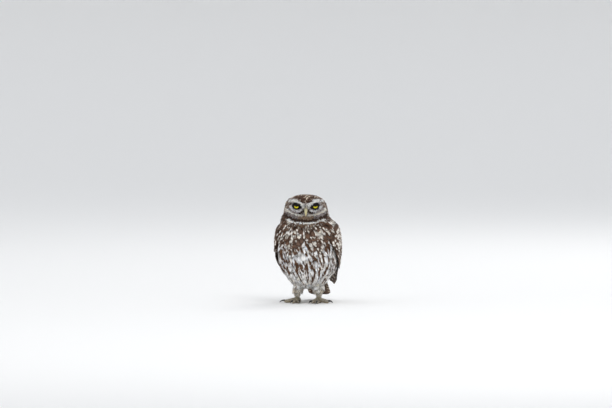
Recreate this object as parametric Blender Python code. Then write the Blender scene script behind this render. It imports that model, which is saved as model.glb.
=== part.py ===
"""A little owl standing on a level floor, at life size.

It faces -Y with its left side at +X and the floor at z = 0. Lengths are in metres, written as
millimetres times MM, and the tables of sections below hold millimetres.
"""

import math

import bmesh
import bpy
import numpy as np
from mathutils import Matrix, Vector
from mathutils.bvhtree import BVHTree

MM = 0.001
GAP = 0.3 * MM

# Body sections from the vent up to the crown: height, half width, front, back
BODY_SECTIONS = (
    (22.5, 0, 8, 8),
    (23.5, 14, -8, 26),
    (28, 24, -22, 41),
    (36, 32, -33, 51),
    (48, 39.5, -42, 55.5),
    (62, 43, -47, 53),
    (77, 44, -49, 49),
    (92, 43.5, -47, 44),
    (106, 42, -43, 40),
    (115, 39.5, -39, 37),
    (121, 37, -35.5, 34.5),
    (126, 34.8, -33, 31.5),
    (130.5, 32.8, -31.8, 29),
    (135, 31.4, -31.2, 27.5),
    (139.5, 30.6, -31, 25.5),
    (144, 29.4, -30.6, 22.5),
    (148.5, 26.8, -29, 18.5),
    (152.5, 22.5, -26, 14),
    (155.6, 16.5, -21, 8.5),
    (157.4, 9, -15, 1.5),
    (158, 0, -7, -7),
)
BODY_COLUMNS = 36
BODY_ROWS = 42
SECTION_POWER = 2.15
FACE_CROWDING = 0.4
FACE_LEVELS = (100, 125)

# The head is turned to its left on the neck, and held a little to its right
HEAD_TURN = math.radians(12)
HEAD_SHIFT = -2.5
HEAD_AXIS_Y = -3
TURN_LEVELS = (110, 126)

# Cuts between head, neck and torso: a front and a back point, as y and height
HEAD_CUT = ((-32, 117.5), (33, 127))
NECK_CUT = ((-38, 107), (37, 119))

# Relief of the face, in the head's own unturned frame
EYE_X = 12.7
EYE_Y = -20.5
EYE_Z = 141.5
EYE_RADIUS = 7.5
EYE_OUTWARD = math.radians(8)
LID_THICKNESS = 1.4
LID_OPENING = (5.9, 4.7)
LID_OPENING_DROP = 0.7
LID_TILT = math.radians(12)
BOWL_RADIUS = 12.5
BOWL_DEPTH = 2.8
BROW_INNER = (2.5, 144)
BROW_OUTER = (23, 151)
BROW_HEIGHT = 3.2
BROW_WIDTH = 2.8
PAD_SIZE = (6, 7)
PAD_Z = 133.5
PAD_HEIGHT = 3.0
RUFF_SIZE = (28, 17.5)
RUFF_Z = 136.5
RUFF_TOP = 144
RUFF_HEIGHT = 1.9
RUFF_WIDTH = 0.11

# Bill: y, height and radius along each half, with its width as a share of its height
UPPER_BILL = (
    (-26, 140.4, 3.8),
    (-32.2, 139.6, 4.0),
    (-36.4, 136.8, 3.2),
    (-38.5, 132.6, 2.2),
    (-38.3, 129.2, 1.15),
    (-37.6, 127.5, 0.35),
)
LOWER_BILL = ((-27, 134.2, 2.8), (-32.6, 133.2, 2.8), (-35.4, 131, 1.8), (-36.4, 129.3, 0.6))
BILL_WIDTH = 0.8
NOSTRIL = (2.3, -34.6, 139.2)
NOSTRIL_RADIUS = 0.8

# Legs and feet
HIP = (15, 2, 40)
ANKLE = (16, 0, 8)
LEG_RADII = (12, 4.8)
FOOT_PAD_RADIUS = 5.2
TOES = {"inner": (-20, 0.95), "middle": (6, 1.08), "outer": (62, 0.92), "hind": (168, 0.85)}
TOE_LINE = (
    (0, 4.6, 3.4), (6.5, 4.0, 3.0), (13, 2.9, 2.7), (18, 2.4, 2.4), (20.2, 2.3, 1.7), (21, 2.2, 0.7),
)
CLAW_LINE = ((17.5, 3.0, 1.4), (21.5, 3.9, 1.5), (25, 3.6, 1.15), (27.6, 2.3, 0.7), (28.8, 0.95, 0.25))

# Folded left wing, shoulder to tip: its leading edge, its middle and its trailing edge
WING_LEAD = ((36, -30, 107), (43, -24, 91), (45, -5, 68), (40, 26, 44), (27, 55, 29), (18, 73, 26))
WING_MIDDLE = ((40, -3, 115), (46, 10, 99), (42, 28, 76), (31, 46, 54), (21, 62, 38), (14, 76, 28))
WING_TRAIL = ((26, 26, 116), (25, 38, 104), (22, 47, 85), (16, 56, 65), (11, 66, 46), (10, 77, 31))
HUG_UNTIL = 0.5
LOOSE_FROM = 0.75
ARM = {"along": (0.2, 0.23), "across": (0.47, 0.52), "lift": (0.2, 4.9), "boxiness": 0.7}
VANE_THICKNESS = 0.55
SHINGLE_STEP = 0.9

# Tail: root and tip of its upper face, as y and height
TAIL_ROOT = (42, 56)
TAIL_TIP = (88, 8)
TAIL_PAIRS = 6
TAIL_VANE_START = 14
TAIL_ROOT_HALF = 8
TAIL_TIP_HALF = 17
TAIL_VANE_HALF = 6.0
TAIL_STEP = 0.85
TAIL_CORE = {"at": 19, "below": 2.4, "size": (13.5, 19, 5.6)}

FINISHES = {
    "plumage": ((0.19, 0.13, 0.09), 0.85),
    "face": ((0.45, 0.40, 0.36), 0.85),
    "flight": ((0.12, 0.08, 0.055), 0.7),
    "bill": ((0.55, 0.49, 0.34), 0.4),
    "claw": ((0.03, 0.025, 0.02), 0.35),
    "eye": ((0.75, 0.65, 0.05), 0.1),
    "toe": ((0.42, 0.36, 0.29), 0.8),
}


def smooth(low, high, value):
    """0 below low, 1 above high, and an even S between them."""
    t = min(max((value - low) / (high - low), 0.0), 1.0)
    return t * t * (3.0 - 2.0 * t)


def along(rows, position):
    """The values at position, 0 to 1, on the smooth curve through rows."""
    rows = np.asarray(rows, float)
    last = len(rows) - 2
    start = min(max(int(position * (last + 1)), 0), last)
    t = position * (last + 1) - start
    b, c = rows[start], rows[start + 1]
    a = rows[start - 1] if start > 0 else 2 * b - c
    d = rows[start + 2] if start < last else 2 * c - b
    return 0.5 * (2 * b + (c - a) * t + (2 * a - 5 * b + 4 * c - d) * t**2 + (3 * b - a - 3 * c + d) * t**3)


def signed_power(value, power):
    return math.copysign(abs(value) ** power, value)


def segment_distance(point, start, end):
    point, start, end = Vector(point), Vector(start), Vector(end)
    span = end - start
    t = min(max((point - start).dot(span) / span.length_squared, 0.0), 1.0)
    return (start + span * t - point).length


def clear_scene():
    for obj in list(bpy.data.objects):
        bpy.data.objects.remove(obj)


def make_collection(name):
    collection = bpy.data.collections.new(name)
    bpy.context.scene.collection.children.link(collection)
    return collection


def finish_material(name):
    """The named finish as a Principled material, made once."""
    found = bpy.data.materials.get(name)
    if found:
        return found
    colour, roughness = FINISHES[name]
    material = bpy.data.materials.new(name)
    material.use_nodes = True
    shader = material.node_tree.nodes["Principled BSDF"]
    shader.inputs["Base Color"].default_value = (*colour, 1)
    shader.inputs["Roughness"].default_value = roughness
    material.diffuse_color = (*colour, 1)
    return material


def add_object(name, mesh, collection):
    obj = bpy.data.objects.new(name, mesh)
    collection.objects.link(obj)
    return obj


def add_form(name, shape):
    """A helper object from a finished bmesh, with its faces turned outwards."""
    bmesh.ops.recalc_face_normals(shape, faces=shape.faces)
    mesh = bpy.data.meshes.new(name)
    shape.to_mesh(mesh)
    shape.free()
    return add_object(name, mesh, helpers)


def evaluated_mesh(obj):
    graph = bpy.context.evaluated_depsgraph_get()
    return bpy.data.meshes.new_from_object(obj.evaluated_get(graph))


def apply_modifiers(obj):
    mesh = evaluated_mesh(obj)
    obj.modifiers.clear()
    obj.data = mesh


def copy_form(obj, name):
    return add_object(name, obj.data.copy(), helpers)


def keep_largest(obj):
    """Keeps the largest closed surface of a mesh, so scraps and sealed hollows go."""
    shape = bmesh.new()
    shape.from_mesh(obj.data)
    left = set(shape.faces)
    surfaces = []
    while left:
        found = {left.pop()}
        edge_of_search = list(found)
        while edge_of_search:
            face = edge_of_search.pop()
            for edge in face.edges:
                for other in edge.link_faces:
                    if other in left:
                        left.discard(other)
                        found.add(other)
                        edge_of_search.append(other)
        surfaces.append(found)
    largest = max(surfaces, key=lambda faces: sum(face.calc_area() for face in faces))
    extra = [face for face in shape.faces if face not in largest]
    bmesh.ops.delete(shape, geom=extra, context="FACES")
    shape.to_mesh(obj.data)
    shape.free()


def combine(obj, others, operation, solver="EXACT"):
    """One Boolean of obj with a collection of closed meshes, which are used up."""
    group = bpy.data.collections.new("group")
    helpers.children.link(group)
    for other in others:
        helpers.objects.unlink(other)
        group.objects.link(other)
    modifier = obj.modifiers.new(operation.lower(), "BOOLEAN")
    modifier.operation = operation
    modifier.operand_type = "COLLECTION"
    modifier.collection = group
    modifier.solver = solver
    apply_modifiers(obj)
    for other in others:
        bpy.data.objects.remove(other)
    bpy.data.collections.remove(group)
    return obj


def cut_clear(obj, *neighbours):
    """Cuts obj clear of its neighbours' forms, which already stand GAP proud of them."""
    return combine(obj, [copy_form(form, "clearance") for form in neighbours], "DIFFERENCE")


def swell(obj, distance, name):
    """A copy of a form grown outwards by distance."""
    grown = copy_form(obj, name)
    normals = [vertex.normal.copy() for vertex in grown.data.vertices]
    for vertex, normal in zip(grown.data.vertices, normals):
        vertex.co += normal * distance
    return grown


def as_node(obj, name, finish):
    """Hands a helper over as the finished node of that name."""
    keep_largest(obj)
    helpers.objects.unlink(obj)
    parts.objects.link(obj)
    obj.name = name
    obj.data.name = name
    obj.data.materials.clear()
    obj.data.materials.append(finish_material(finish))
    obj.data.shade_smooth()
    obj.data.set_sharp_from_angle(angle=math.radians(40))
    return obj


def mirrored(obj, name):
    """The same form on the other side of the plane x = 0."""
    shape = bmesh.new()
    shape.from_mesh(obj.data)
    bmesh.ops.transform(shape, matrix=Matrix.Scale(-1, 4, (1, 0, 0)), verts=shape.verts)
    return add_form(name, shape)


def ball(name, centre, radii, columns=24, rows=16, turn=None):
    """A closed ellipsoid, turned about its own centre."""
    shape = bmesh.new()
    bmesh.ops.create_uvsphere(shape, u_segments=columns, v_segments=rows, radius=1)
    place = Matrix.Translation(centre) @ (turn or Matrix()) @ Matrix.Diagonal((*radii, 1))
    bmesh.ops.transform(shape, matrix=place, verts=shape.verts)
    return add_form(name, shape)


def tube(name, points, radii, sides=2):
    """A closed round bar through the points, with a radius at each, made a mesh."""
    curve = bpy.data.curves.new(name, "CURVE")
    curve.dimensions = "3D"
    curve.bevel_depth = 1
    curve.bevel_resolution = sides
    curve.use_fill_caps = True
    spline = curve.splines.new("POLY")
    spline.points.add(len(points) - 1)
    for spot, point, radius in zip(spline.points, points, radii):
        spot.co = (*point, 1)
        spot.radius = radius
    holder = add_object(name, curve, helpers)
    mesh = evaluated_mesh(holder)
    bpy.data.objects.remove(holder)
    shape = bmesh.new()
    shape.from_mesh(mesh)
    bmesh.ops.remove_doubles(shape, verts=shape.verts, dist=1e-6)
    return add_form(name, shape)


def keep_side(obj, point, normal):
    """Cuts a closed form at a plane and keeps what lies on the normal's side, capped."""
    shape = bmesh.new()
    shape.from_mesh(obj.data)
    everything = [*shape.verts, *shape.edges, *shape.faces]
    cut = bmesh.ops.bisect_plane(shape, geom=everything, plane_co=point, plane_no=normal, clear_inner=True)
    rim = [item for item in cut["geom_cut"] if isinstance(item, bmesh.types.BMEdge)]
    caps = bmesh.ops.holes_fill(shape, edges=rim, sides=0)["faces"]
    bmesh.ops.triangulate(shape, faces=caps)
    bmesh.ops.recalc_face_normals(shape, faces=shape.faces)
    shape.to_mesh(obj.data)
    shape.free()
    return obj


def face_relief(x, height):
    """How far the face stands out, in millimetres, at a place seen from the front."""
    stands = PAD_HEIGHT * math.exp(-((x / PAD_SIZE[0]) ** 2) - ((height - PAD_Z) / PAD_SIZE[1]) ** 2)
    side = abs(x)
    bowl = math.hypot(side - EYE_X, height - EYE_Z) / BOWL_RADIUS
    if bowl < 1:
        stands -= BOWL_DEPTH * (1 - bowl**2) ** 2
    brow = segment_distance((side, height), BROW_INNER, BROW_OUTER)
    stands += BROW_HEIGHT * math.exp(-((brow / BROW_WIDTH) ** 2))
    if height < RUFF_TOP:
        ring = math.hypot(x / RUFF_SIZE[0], (height - RUFF_Z) / RUFF_SIZE[1])
        stands += RUFF_HEIGHT * math.exp(-(((ring - 1) / RUFF_WIDTH) ** 2))
    return stands


def turn_head(point):
    """Turns and shifts a point of the unturned body, in millimetres, as the neck does."""
    x, y, height = point
    share = smooth(*TURN_LEVELS, height)
    angle = HEAD_TURN * share
    y -= HEAD_AXIS_Y
    turned_x = x * math.cos(angle) - y * math.sin(angle)
    turned_y = x * math.sin(angle) + y * math.cos(angle)
    return Vector((turned_x + HEAD_SHIFT * share, turned_y + HEAD_AXIS_Y, height)) * MM


def body_point(level, around):
    """A point of the body's surface: level is 0 at the vent and 1 at the crown, around is 0 in front."""
    height, width, front, back = along(BODY_SECTIONS, level)
    width = max(width, 0.0)
    around -= FACE_CROWDING * smooth(*FACE_LEVELS, height) * math.sin(around)
    middle, depth = (front + back) / 2, (back - front) / 2
    sideways, forward = math.sin(around), math.cos(around)
    x = width * signed_power(sideways, 2 / SECTION_POWER)
    y = middle - depth * signed_power(forward, 2 / SECTION_POWER)
    relief = face_relief(x, height) * smooth(118, 124, height) * smooth(-0.1, 0.4, forward)
    outward = Vector((x / max(width, 1) ** 2, (y - middle) / max(depth, 1) ** 2)).normalized()
    return turn_head((x + relief * outward.x, y + relief * outward.y, height))


def make_body_form():
    """Head, neck and torso as one closed form."""
    shape = bmesh.new()
    bmesh.ops.create_uvsphere(shape, u_segments=BODY_COLUMNS, v_segments=BODY_ROWS, radius=1)
    for vertex in shape.verts:
        level = 1 - math.acos(min(max(vertex.co.z, -1), 1)) / math.pi
        vertex.co = body_point(level, math.atan2(vertex.co.x, -vertex.co.y))
    bmesh.ops.triangulate(shape, faces=shape.faces)
    return add_form("body", shape)


def cut_plane(ends):
    """A point and the upward normal of a cut that crosses the body from front to back."""
    (front, low), (back, high) = ends
    normal = Vector((0, low - high, back - front)).normalized()
    return Vector((0, front, low)) * MM, normal


def make_torso(body):
    point, up = cut_plane(NECK_CUT)
    as_node(keep_side(copy_form(body, "torso"), point - up * GAP / 2, -up), "torso", "plumage")


def make_neck(body):
    low, low_up = cut_plane(NECK_CUT)
    high, high_up = cut_plane(HEAD_CUT)
    form = keep_side(copy_form(body, "neck"), low + low_up * GAP / 2, low_up)
    as_node(keep_side(form, high - high_up * GAP / 2, -high_up), "neck", "plumage")


def eye_frame(side):
    """The eye's centre and its turn, with the line of sight along its own -Y."""
    centre = turn_head((side * EYE_X, EYE_Y, EYE_Z))
    return centre, Matrix.Rotation(HEAD_TURN + side * EYE_OUTWARD, 4, "Z")


def lid_forms(extra=0.0):
    """The round of the lids about each eye, grown by extra."""
    radius = EYE_RADIUS * MM + GAP + LID_THICKNESS * MM + extra
    frames = [eye_frame(side) for side in (-1, 1)]
    return [ball("lid", centre, (radius, radius, radius), 18, 12, turn) for centre, turn in frames]


def make_head(body):
    """The head with a lidded socket for each eye."""
    point, up = cut_plane(HEAD_CUT)
    head = keep_side(copy_form(body, "head"), point + up * GAP / 2, up)
    hollows = []
    for side in (-1, 1):
        centre, turn = eye_frame(side)
        socket = EYE_RADIUS * MM + GAP
        hollows.append(ball("socket", centre, (socket, socket, socket), 18, 12, turn))
        reach = 2 * EYE_RADIUS
        tilt = turn @ Matrix.Rotation(-side * LID_TILT, 4, "Y")
        middle = centre + tilt @ Vector((0, -reach, -LID_OPENING_DROP)) * MM
        opening = Vector((LID_OPENING[0], reach, LID_OPENING[1])) * MM
        hollows.append(ball("opening", middle, opening, 18, 10, tilt))
    combine(head, lid_forms(), "UNION")
    combine(head, hollows, "DIFFERENCE")
    as_node(head, "head", "face")


def make_eyes():
    for side, name in ((-1, "eye_right"), (1, "eye_left")):
        centre, turn = eye_frame(side)
        radius = EYE_RADIUS * MM
        as_node(ball(name, centre, (radius, radius, radius), 20, 12, turn), name, "eye")


def make_bill(body_clearance):
    """The hooked upper bill over the lower one, with the line of the mouth between."""
    def half(name, line):
        points = [turn_head((0, y, height)) for y, height, _ in line]
        form = tube(name, points, [radius * MM for _, _, radius in line], 3)
        middle = turn_head((0, HEAD_AXIS_Y, EYE_Z))
        turn = Matrix.Rotation(HEAD_TURN, 4, "Z")
        narrow = Matrix.Scale(BILL_WIDTH, 4, (1, 0, 0))
        form.data.transform(Matrix.Translation(middle) @ turn @ narrow @ turn.inverted() @ Matrix.Translation(-middle))
        return form

    upper = half("bill_upper", UPPER_BILL)
    upper_clearance = swell(upper, GAP, "upper clearance")
    lids = lid_forms(GAP)
    lower = cut_clear(half("bill_lower", LOWER_BILL), body_clearance, upper_clearance, *lids)
    as_node(lower, "bill_lower", "bill")
    cut_clear(upper, body_clearance, *lids)
    x, y, height = NOSTRIL
    pits = []
    for side in (-1, 1):
        size = NOSTRIL_RADIUS * MM
        pits.append(ball("nostril", turn_head((side * x, y, height)), (size, size, size), 8, 6))
    as_node(combine(upper, pits, "DIFFERENCE"), "bill_upper", "bill")


def foot_points(side, degrees, length, line):
    """The points and radii of a toe or claw, from the foot's middle outwards."""
    angle = math.radians(degrees) * side
    heading = Vector((math.sin(angle), -math.cos(angle), 0))
    middle = Vector((side * ANKLE[0], ANKLE[1], 0))
    points = [(middle + heading * (reach * length) + Vector((0, 0, height))) * MM for reach, height, _ in line]
    return points, [radius * MM for _, _, radius in line]


def make_foot(side, name, body_clearance):
    """A feathered leg, a foot with four toes on small flats, and their claws."""
    pad = Vector((side * ANKLE[0], ANKLE[1], FOOT_PAD_RADIUS - 1)) * MM
    radius = FOOT_PAD_RADIUS * MM
    foot = ball("foot", pad, (radius, radius, radius), 16, 10)
    toes = [tube(toe, *foot_points(side, *TOES[toe], TOE_LINE)) for toe in TOES]
    combine(foot, toes, "UNION")
    keep_side(foot, Vector((0, 0, 0)), Vector((0, 0, 1)))
    keep_largest(foot)
    clearance = swell(foot, GAP, "foot clearance")
    for toe in TOES:
        claw = tube("claw", *foot_points(side, *TOES[toe], CLAW_LINE), sides=1)
        as_node(cut_clear(claw, clearance), f"claw_{name}_{toe}", "claw")
    top, bottom = Vector(HIP), Vector(ANKLE)
    rows = [top.lerp(bottom, share) for share in (0, 0.35, 0.7, 1)]
    rows = [Vector((side * point.x, point.y, point.z)) * MM for point in rows]
    radii = [LEG_RADII[0] + (LEG_RADII[1] - LEG_RADII[0]) * share for share in (0, 0.5, 0.9, 1)]
    leg = tube("leg", rows, [value * MM for value in radii], 4)
    as_node(cut_clear(leg, body_clearance, clearance), f"leg_{name}", "toe")
    as_node(foot, f"foot_{name}", "toe")
    bpy.data.objects.remove(clearance)


def vane(name, place, profile, columns=2):
    """A thin closed vane. place(across, run) gives its middle surface, profile the run of its rows."""
    shape = bmesh.new()
    bmesh.ops.create_grid(shape, x_segments=columns, y_segments=len(profile) - 1, size=1)
    for vertex in shape.verts:
        run, width = profile[round((vertex.co.y + 1) / 2 * (len(profile) - 1))]
        vertex.co = place(vertex.co.x * width, run)
    bmesh.ops.triangulate(shape, faces=shape.faces)
    bmesh.ops.recalc_face_normals(shape, faces=shape.faces)
    bmesh.ops.solidify(shape, geom=shape.faces, thickness=VANE_THICKNESS * MM)
    return add_form(name, shape)


LONG_VANE = ((0, 0.75), (0.5, 1.0), (0.9, 0.85), (1, 0.3))
SHORT_VANE = ((0, 0.8), (0.5, 1.0), (0.86, 0.85), (1, 0.35))


class Wing:
    """The folded left wing as a sheet over the body, along 0 to 1 and across 0 to 1 from its lower edge."""

    def __init__(self, body):
        shape = bmesh.new()
        shape.from_mesh(body.data)
        self.body = BVHTree.FromBMesh(shape)
        shape.free()

    def raw(self, run, across):
        lead, middle, trail = (along(line, run) for line in (WING_LEAD, WING_MIDDLE, WING_TRAIL))
        across = min(max(across, -0.2), 1.2)
        weights = ((1 - across) * (1 - 2 * across), 4 * across * (1 - across), across * (2 * across - 1))
        return Vector(weights[0] * lead + weights[1] * middle + weights[2] * trail) * MM

    def point(self, run, across, lift):
        """The place over the sheet at that spot, lift millimetres out from the body."""
        step = 0.01
        here = self.raw(run, across)
        forwards = self.raw(run + step, across) - self.raw(run - step, across)
        sideways = self.raw(run, across + step) - self.raw(run, across - step)
        normal = forwards.cross(sideways).normalized()
        reach = 40 * MM
        hit = self.body.ray_cast(here + normal * reach, -normal, 2 * reach)
        depth = reach - hit[3] if hit[0] is not None else 0.0
        loose = smooth(HUG_UNTIL, LOOSE_FROM, run)
        depth = (1 - loose) * depth + loose * max(depth, 0.0)
        return here + normal * (depth + lift * MM)

    def width(self, run):
        return (self.raw(run, 1) - self.raw(run, 0)).length / MM

    def feather(self, name, root, tip, half_width, lift, tilt=SHINGLE_STEP, profile=LONG_VANE):
        """A vane from root to tip, both (along, across, lift), its lower edge raised over the next."""
        def place(across, run):
            s = root[0] + (tip[0] - root[0]) * run
            w = root[1] + (tip[1] - root[1]) * run
            height = lift[0] + (lift[1] - lift[0]) * run - across * tilt * 0.7 * run
            return self.point(s, w + across * half_width / self.width(s), height)

        return vane(name, place, profile)

    def arm(self):
        """The shoulder and forearm that the feathers grow from."""
        shape = bmesh.new()
        bmesh.ops.create_uvsphere(shape, u_segments=18, v_segments=10, radius=1)
        low, high = ARM["lift"]
        for vertex in shape.verts:
            run = ARM["along"][0] + ARM["along"][1] * signed_power(vertex.co.x, ARM["boxiness"])
            across = ARM["across"][0] + ARM["across"][1] * signed_power(vertex.co.y, ARM["boxiness"])
            lift = (low + high) / 2 + (high - low) / 2 * vertex.co.z
            vertex.co = self.point(run, across, lift)
        return add_form("arm", shape)

    def tiers(self):
        """Primaries under secondaries, under two tiers of coverts and the scapulars."""
        made = []
        tips = (0.89, 0.96, 0.99, 0.97, 0.94, 0.91)
        for i, tip in enumerate(tips):
            root = (0.26, 0.13 + 0.08 * i)
            made.append(self.feather("primary", root, (tip, 0.06 + 0.13 * i), 5.4, (1.6, 1.2)))
        for i in range(7):
            root, tip = (0.22 - 0.012 * i, 0.22 + 0.1 * i), (0.83 - 0.02 * i, 0.3 + 0.105 * i)
            made.append(self.feather("secondary", root, tip, 6.0, (2.6, 2.5)))
        for i in range(7):
            root, tip = (0.18, 0.08 + 0.13 * i), (0.53 - 0.012 * i, 0.06 + 0.135 * i)
            made.append(self.feather("greater covert", root, tip, 6.0, (3.4, 3.8), profile=SHORT_VANE))
        for i in range(6):
            root, tip = (0.1, 0.12 + 0.14 * i), (0.36, 0.08 + 0.15 * i)
            made.append(self.feather("median covert", root, tip, 6.8, (4.2, 5.0), profile=SHORT_VANE))
        return made


def make_wings(body, clearances):
    wing = Wing(body)
    left = combine(wing.arm(), wing.tiers(), "UNION", "MANIFOLD")
    keep_largest(left)
    right = mirrored(left, "wing_right")
    as_node(cut_clear(left, *clearances), "wing_left", "flight")
    as_node(cut_clear(right, *clearances), "wing_right", "flight")


def make_tail(body_clearance):
    """Twelve feathers in pairs, the middle pair on top, under the tail coverts' core."""
    root, tip = Vector((0, *TAIL_ROOT)), Vector((0, *TAIL_TIP))
    heading = (tip - root).normalized()
    length = (tip - root).length
    up = Vector((0, -heading.z, heading.y))

    def point(x, run, lift):
        return (root + Vector((x, 0, 0)) + heading * run + up * lift) * MM

    size = TAIL_CORE["size"]
    tilt = Matrix.Rotation(math.atan2(heading.z, heading.y), 4, "X")
    core = ball("core", point(0, TAIL_CORE["at"], -TAIL_CORE["below"]), Vector(size) * MM, 20, 12, tilt)
    vanes = []
    for pair in range(TAIL_PAIRS):
        for side in (-1, 1):
            level = TAIL_STEP * (pair + (side > 0 or pair > 0))
            share = (pair + 0.5) / TAIL_PAIRS
            shorter = 3.0 * share**2

            def place(across, run, side=side, share=share, level=level, pair=pair, shorter=shorter):
                start, end = TAIL_ROOT_HALF * share, (TAIL_TIP_HALF - TAIL_VANE_HALF) * share + 1
                middle = start + (end - start) * run
                inner = TAIL_VANE_HALF if pair == 0 else min(TAIL_VANE_HALF, middle - 0.25)
                x = middle + across * (TAIL_VANE_HALF if across > 0 else inner)
                run_length = TAIL_VANE_START + (length - shorter - TAIL_VANE_START) * run
                return point(side * x, run_length, -level - 0.6 * share * abs(across))

            vanes.append(vane("rectrix", place, LONG_VANE))
    tail = combine(core, vanes, "UNION")
    as_node(cut_clear(tail, body_clearance), "tail", "flight")


def stand_on_origin():
    """Moves the whole bird so that the middle of its footprint box is at x = y = 0."""
    corners = [vertex.co for obj in parts.objects for vertex in obj.data.vertices]
    middle = Vector([(min(c[i] for c in corners) + max(c[i] for c in corners)) / 2 for i in (0, 1)])
    for obj in parts.objects:
        obj.data.transform(Matrix.Translation((-middle.x, -middle.y, 0)))


clear_scene()
parts = make_collection("little_owl")
helpers = make_collection("helpers")
helpers.hide_render = True

body = make_body_form()
body_clearance = swell(body, GAP, "body clearance")
make_torso(body)
make_neck(body)
make_head(body)
make_eyes()
make_bill(body_clearance)
make_foot(-1, "right", body_clearance)
make_foot(1, "left", body_clearance)
make_tail(body_clearance)
make_wings(body, [body_clearance])
for helper in list(helpers.objects):
    bpy.data.objects.remove(helper)
stand_on_origin()
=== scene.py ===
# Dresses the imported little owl: skin, plumage, eyes, bill, feet and claws, then floor, lights and camera
import math

import bmesh
import bpy
import numpy as np
from mathutils import Matrix, Vector
from mathutils.bvhtree import BVHTree
from mathutils.kdtree import KDTree


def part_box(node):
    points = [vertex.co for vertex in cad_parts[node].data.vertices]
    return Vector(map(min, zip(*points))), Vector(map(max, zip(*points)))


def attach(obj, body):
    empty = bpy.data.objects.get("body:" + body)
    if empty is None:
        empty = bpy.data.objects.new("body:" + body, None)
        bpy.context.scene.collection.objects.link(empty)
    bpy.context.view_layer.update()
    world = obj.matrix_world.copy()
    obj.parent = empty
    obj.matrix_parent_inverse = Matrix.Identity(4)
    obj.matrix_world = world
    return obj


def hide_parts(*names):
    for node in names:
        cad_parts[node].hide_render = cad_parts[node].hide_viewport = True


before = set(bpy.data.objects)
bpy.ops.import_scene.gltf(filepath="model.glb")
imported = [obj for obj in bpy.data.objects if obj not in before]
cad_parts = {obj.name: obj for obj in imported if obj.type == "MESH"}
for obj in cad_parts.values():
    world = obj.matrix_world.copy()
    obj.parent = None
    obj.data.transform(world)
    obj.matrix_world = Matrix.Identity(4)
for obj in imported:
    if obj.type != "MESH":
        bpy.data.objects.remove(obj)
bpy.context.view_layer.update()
mm = 0.001


# Landmarks read off the solids
def boxMiddle(node):
    low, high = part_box(node)
    return (low + high) / 2


eyeMiddles = {"left": boxMiddle("eye_left"), "right": boxMiddle("eye_right")}
eyeRadius = (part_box("eye_left")[1].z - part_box("eye_left")[0].z) / 2
acrossFace = eyeMiddles["left"] - eyeMiddles["right"]
headTurn = math.atan2(acrossFace.y, acrossFace.x)
faceMiddle = (eyeMiddles["left"] + eyeMiddles["right"]) / 2
breastReach = 49 * mm  # breast in front of the body's own upright axis
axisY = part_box("torso")[0].y + breastReach
eyeOutward = math.radians(8)
eyeX = acrossFace.length / 2 / mm


# Small helpers on arrays of points
def ramp(low, high, value):  # 0 below low, 1 above high, smooth between
    t = np.clip((value - low) / (high - low), 0, 1)
    return t * t * (3 - 2 * t)


def bump(middle, width, value):  # 1 at the middle, fading over the width
    return np.exp(-(((value - middle) / width) ** 2))


def unit(vectors):
    return vectors / np.maximum(np.linalg.norm(vectors, axis=-1, keepdims=True), 1e-9)


def dots(a, b):
    return (a * b).sum(axis=-1, keepdims=True)


def along(ways, normals):  # ways pressed onto the surface
    return unit(ways - normals * dots(ways, normals))


def astray(flow, normals, spread, draw):  # headings turned a little off the flow
    turn = draw.normal(0, spread, len(flow))[:, None]
    return unit(flow * np.cos(turn) + np.cross(normals, flow) * np.sin(turn))


def turnedZ(vectors, angle):
    c, s = math.cos(angle), math.sin(angle)
    x, y = vectors[..., 0], vectors[..., 1]
    return np.stack([x * c - y * s, x * s + y * c, vectors[..., 2]], axis=-1)


def inFace(points):  # millimetres from between the eyes, facing -Y
    return turnedZ((points - np.array(faceMiddle)) / mm, -headTurn)


def fromEyes(face):  # millimetres from the nearer eye, seen from the front
    return np.hypot(np.abs(face[:, 0]) - eyeX, face[:, 2])


def inBody(points):  # millimetres from the upright axis, on the floor
    return (points - np.array([0, axisY, 0])) / mm


def fromBody(points):
    return np.asarray(points, float) * mm + np.array([0, axisY, 0])


def bodyUnwrap(points):  # round the body and up it
    body = inBody(points)
    around = np.arctan2(body[:, 0], -body[:, 1]) / (2 * math.pi) + 0.5
    return np.stack([0.01 + 0.98 * around, 0.01 + 0.98 * np.clip(body[:, 2] / 160, 0, 1)], 1)


def rgb(*values):  # screen colour 0 to 255 as linear
    v = np.array(values, float) / 255
    return np.where(v <= 0.04045, v / 12.92, ((v + 0.055) / 1.055) ** 2.4)


def lineDistance(points, line):  # 2D distance to a polyline
    best = np.full(len(points), 1e9)
    for start, end in zip(line[:-1], line[1:]):
        start, span = np.array(start, float), np.array(end, float) - np.array(start, float)
        t = np.clip(((points - start) @ span) / (span @ span), 0, 1)
        best = np.minimum(best, np.linalg.norm(points - (start + t[:, None] * span), axis=1))
    return best


# Meshes
def meshPiece(name, points, triangles, uvs=(), paints=()):
    mesh = bpy.data.meshes.new(name)
    mesh.vertices.add(len(points))
    mesh.vertices.foreach_set("co", np.asarray(points, np.float32).ravel())
    mesh.loops.add(len(triangles) * 3)
    mesh.loops.foreach_set("vertex_index", np.asarray(triangles, np.int32).ravel())
    mesh.polygons.add(len(triangles))
    mesh.polygons.foreach_set("loop_start", np.arange(len(triangles), dtype=np.int32) * 3)
    mesh.update(calc_edges=True)
    corners = np.asarray(triangles).ravel()
    for uvName, uv in uvs:
        layer = mesh.uv_layers.new(name=uvName)
        layer.data.foreach_set("uv", np.asarray(uv, np.float32)[corners].ravel())
    for paintName, paint in paints:
        layer = mesh.attributes.new(paintName, "FLOAT_COLOR", "POINT")
        rgba = np.ones((len(points), 4), np.float32)
        rgba[:, :paint.shape[1]] = paint
        layer.data.foreach_set("color", rgba.ravel())
    mesh.shade_smooth()
    return linked(bpy.data.objects.new(name, mesh))


def linked(item):
    bpy.context.scene.collection.objects.link(item)
    return item


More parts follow.
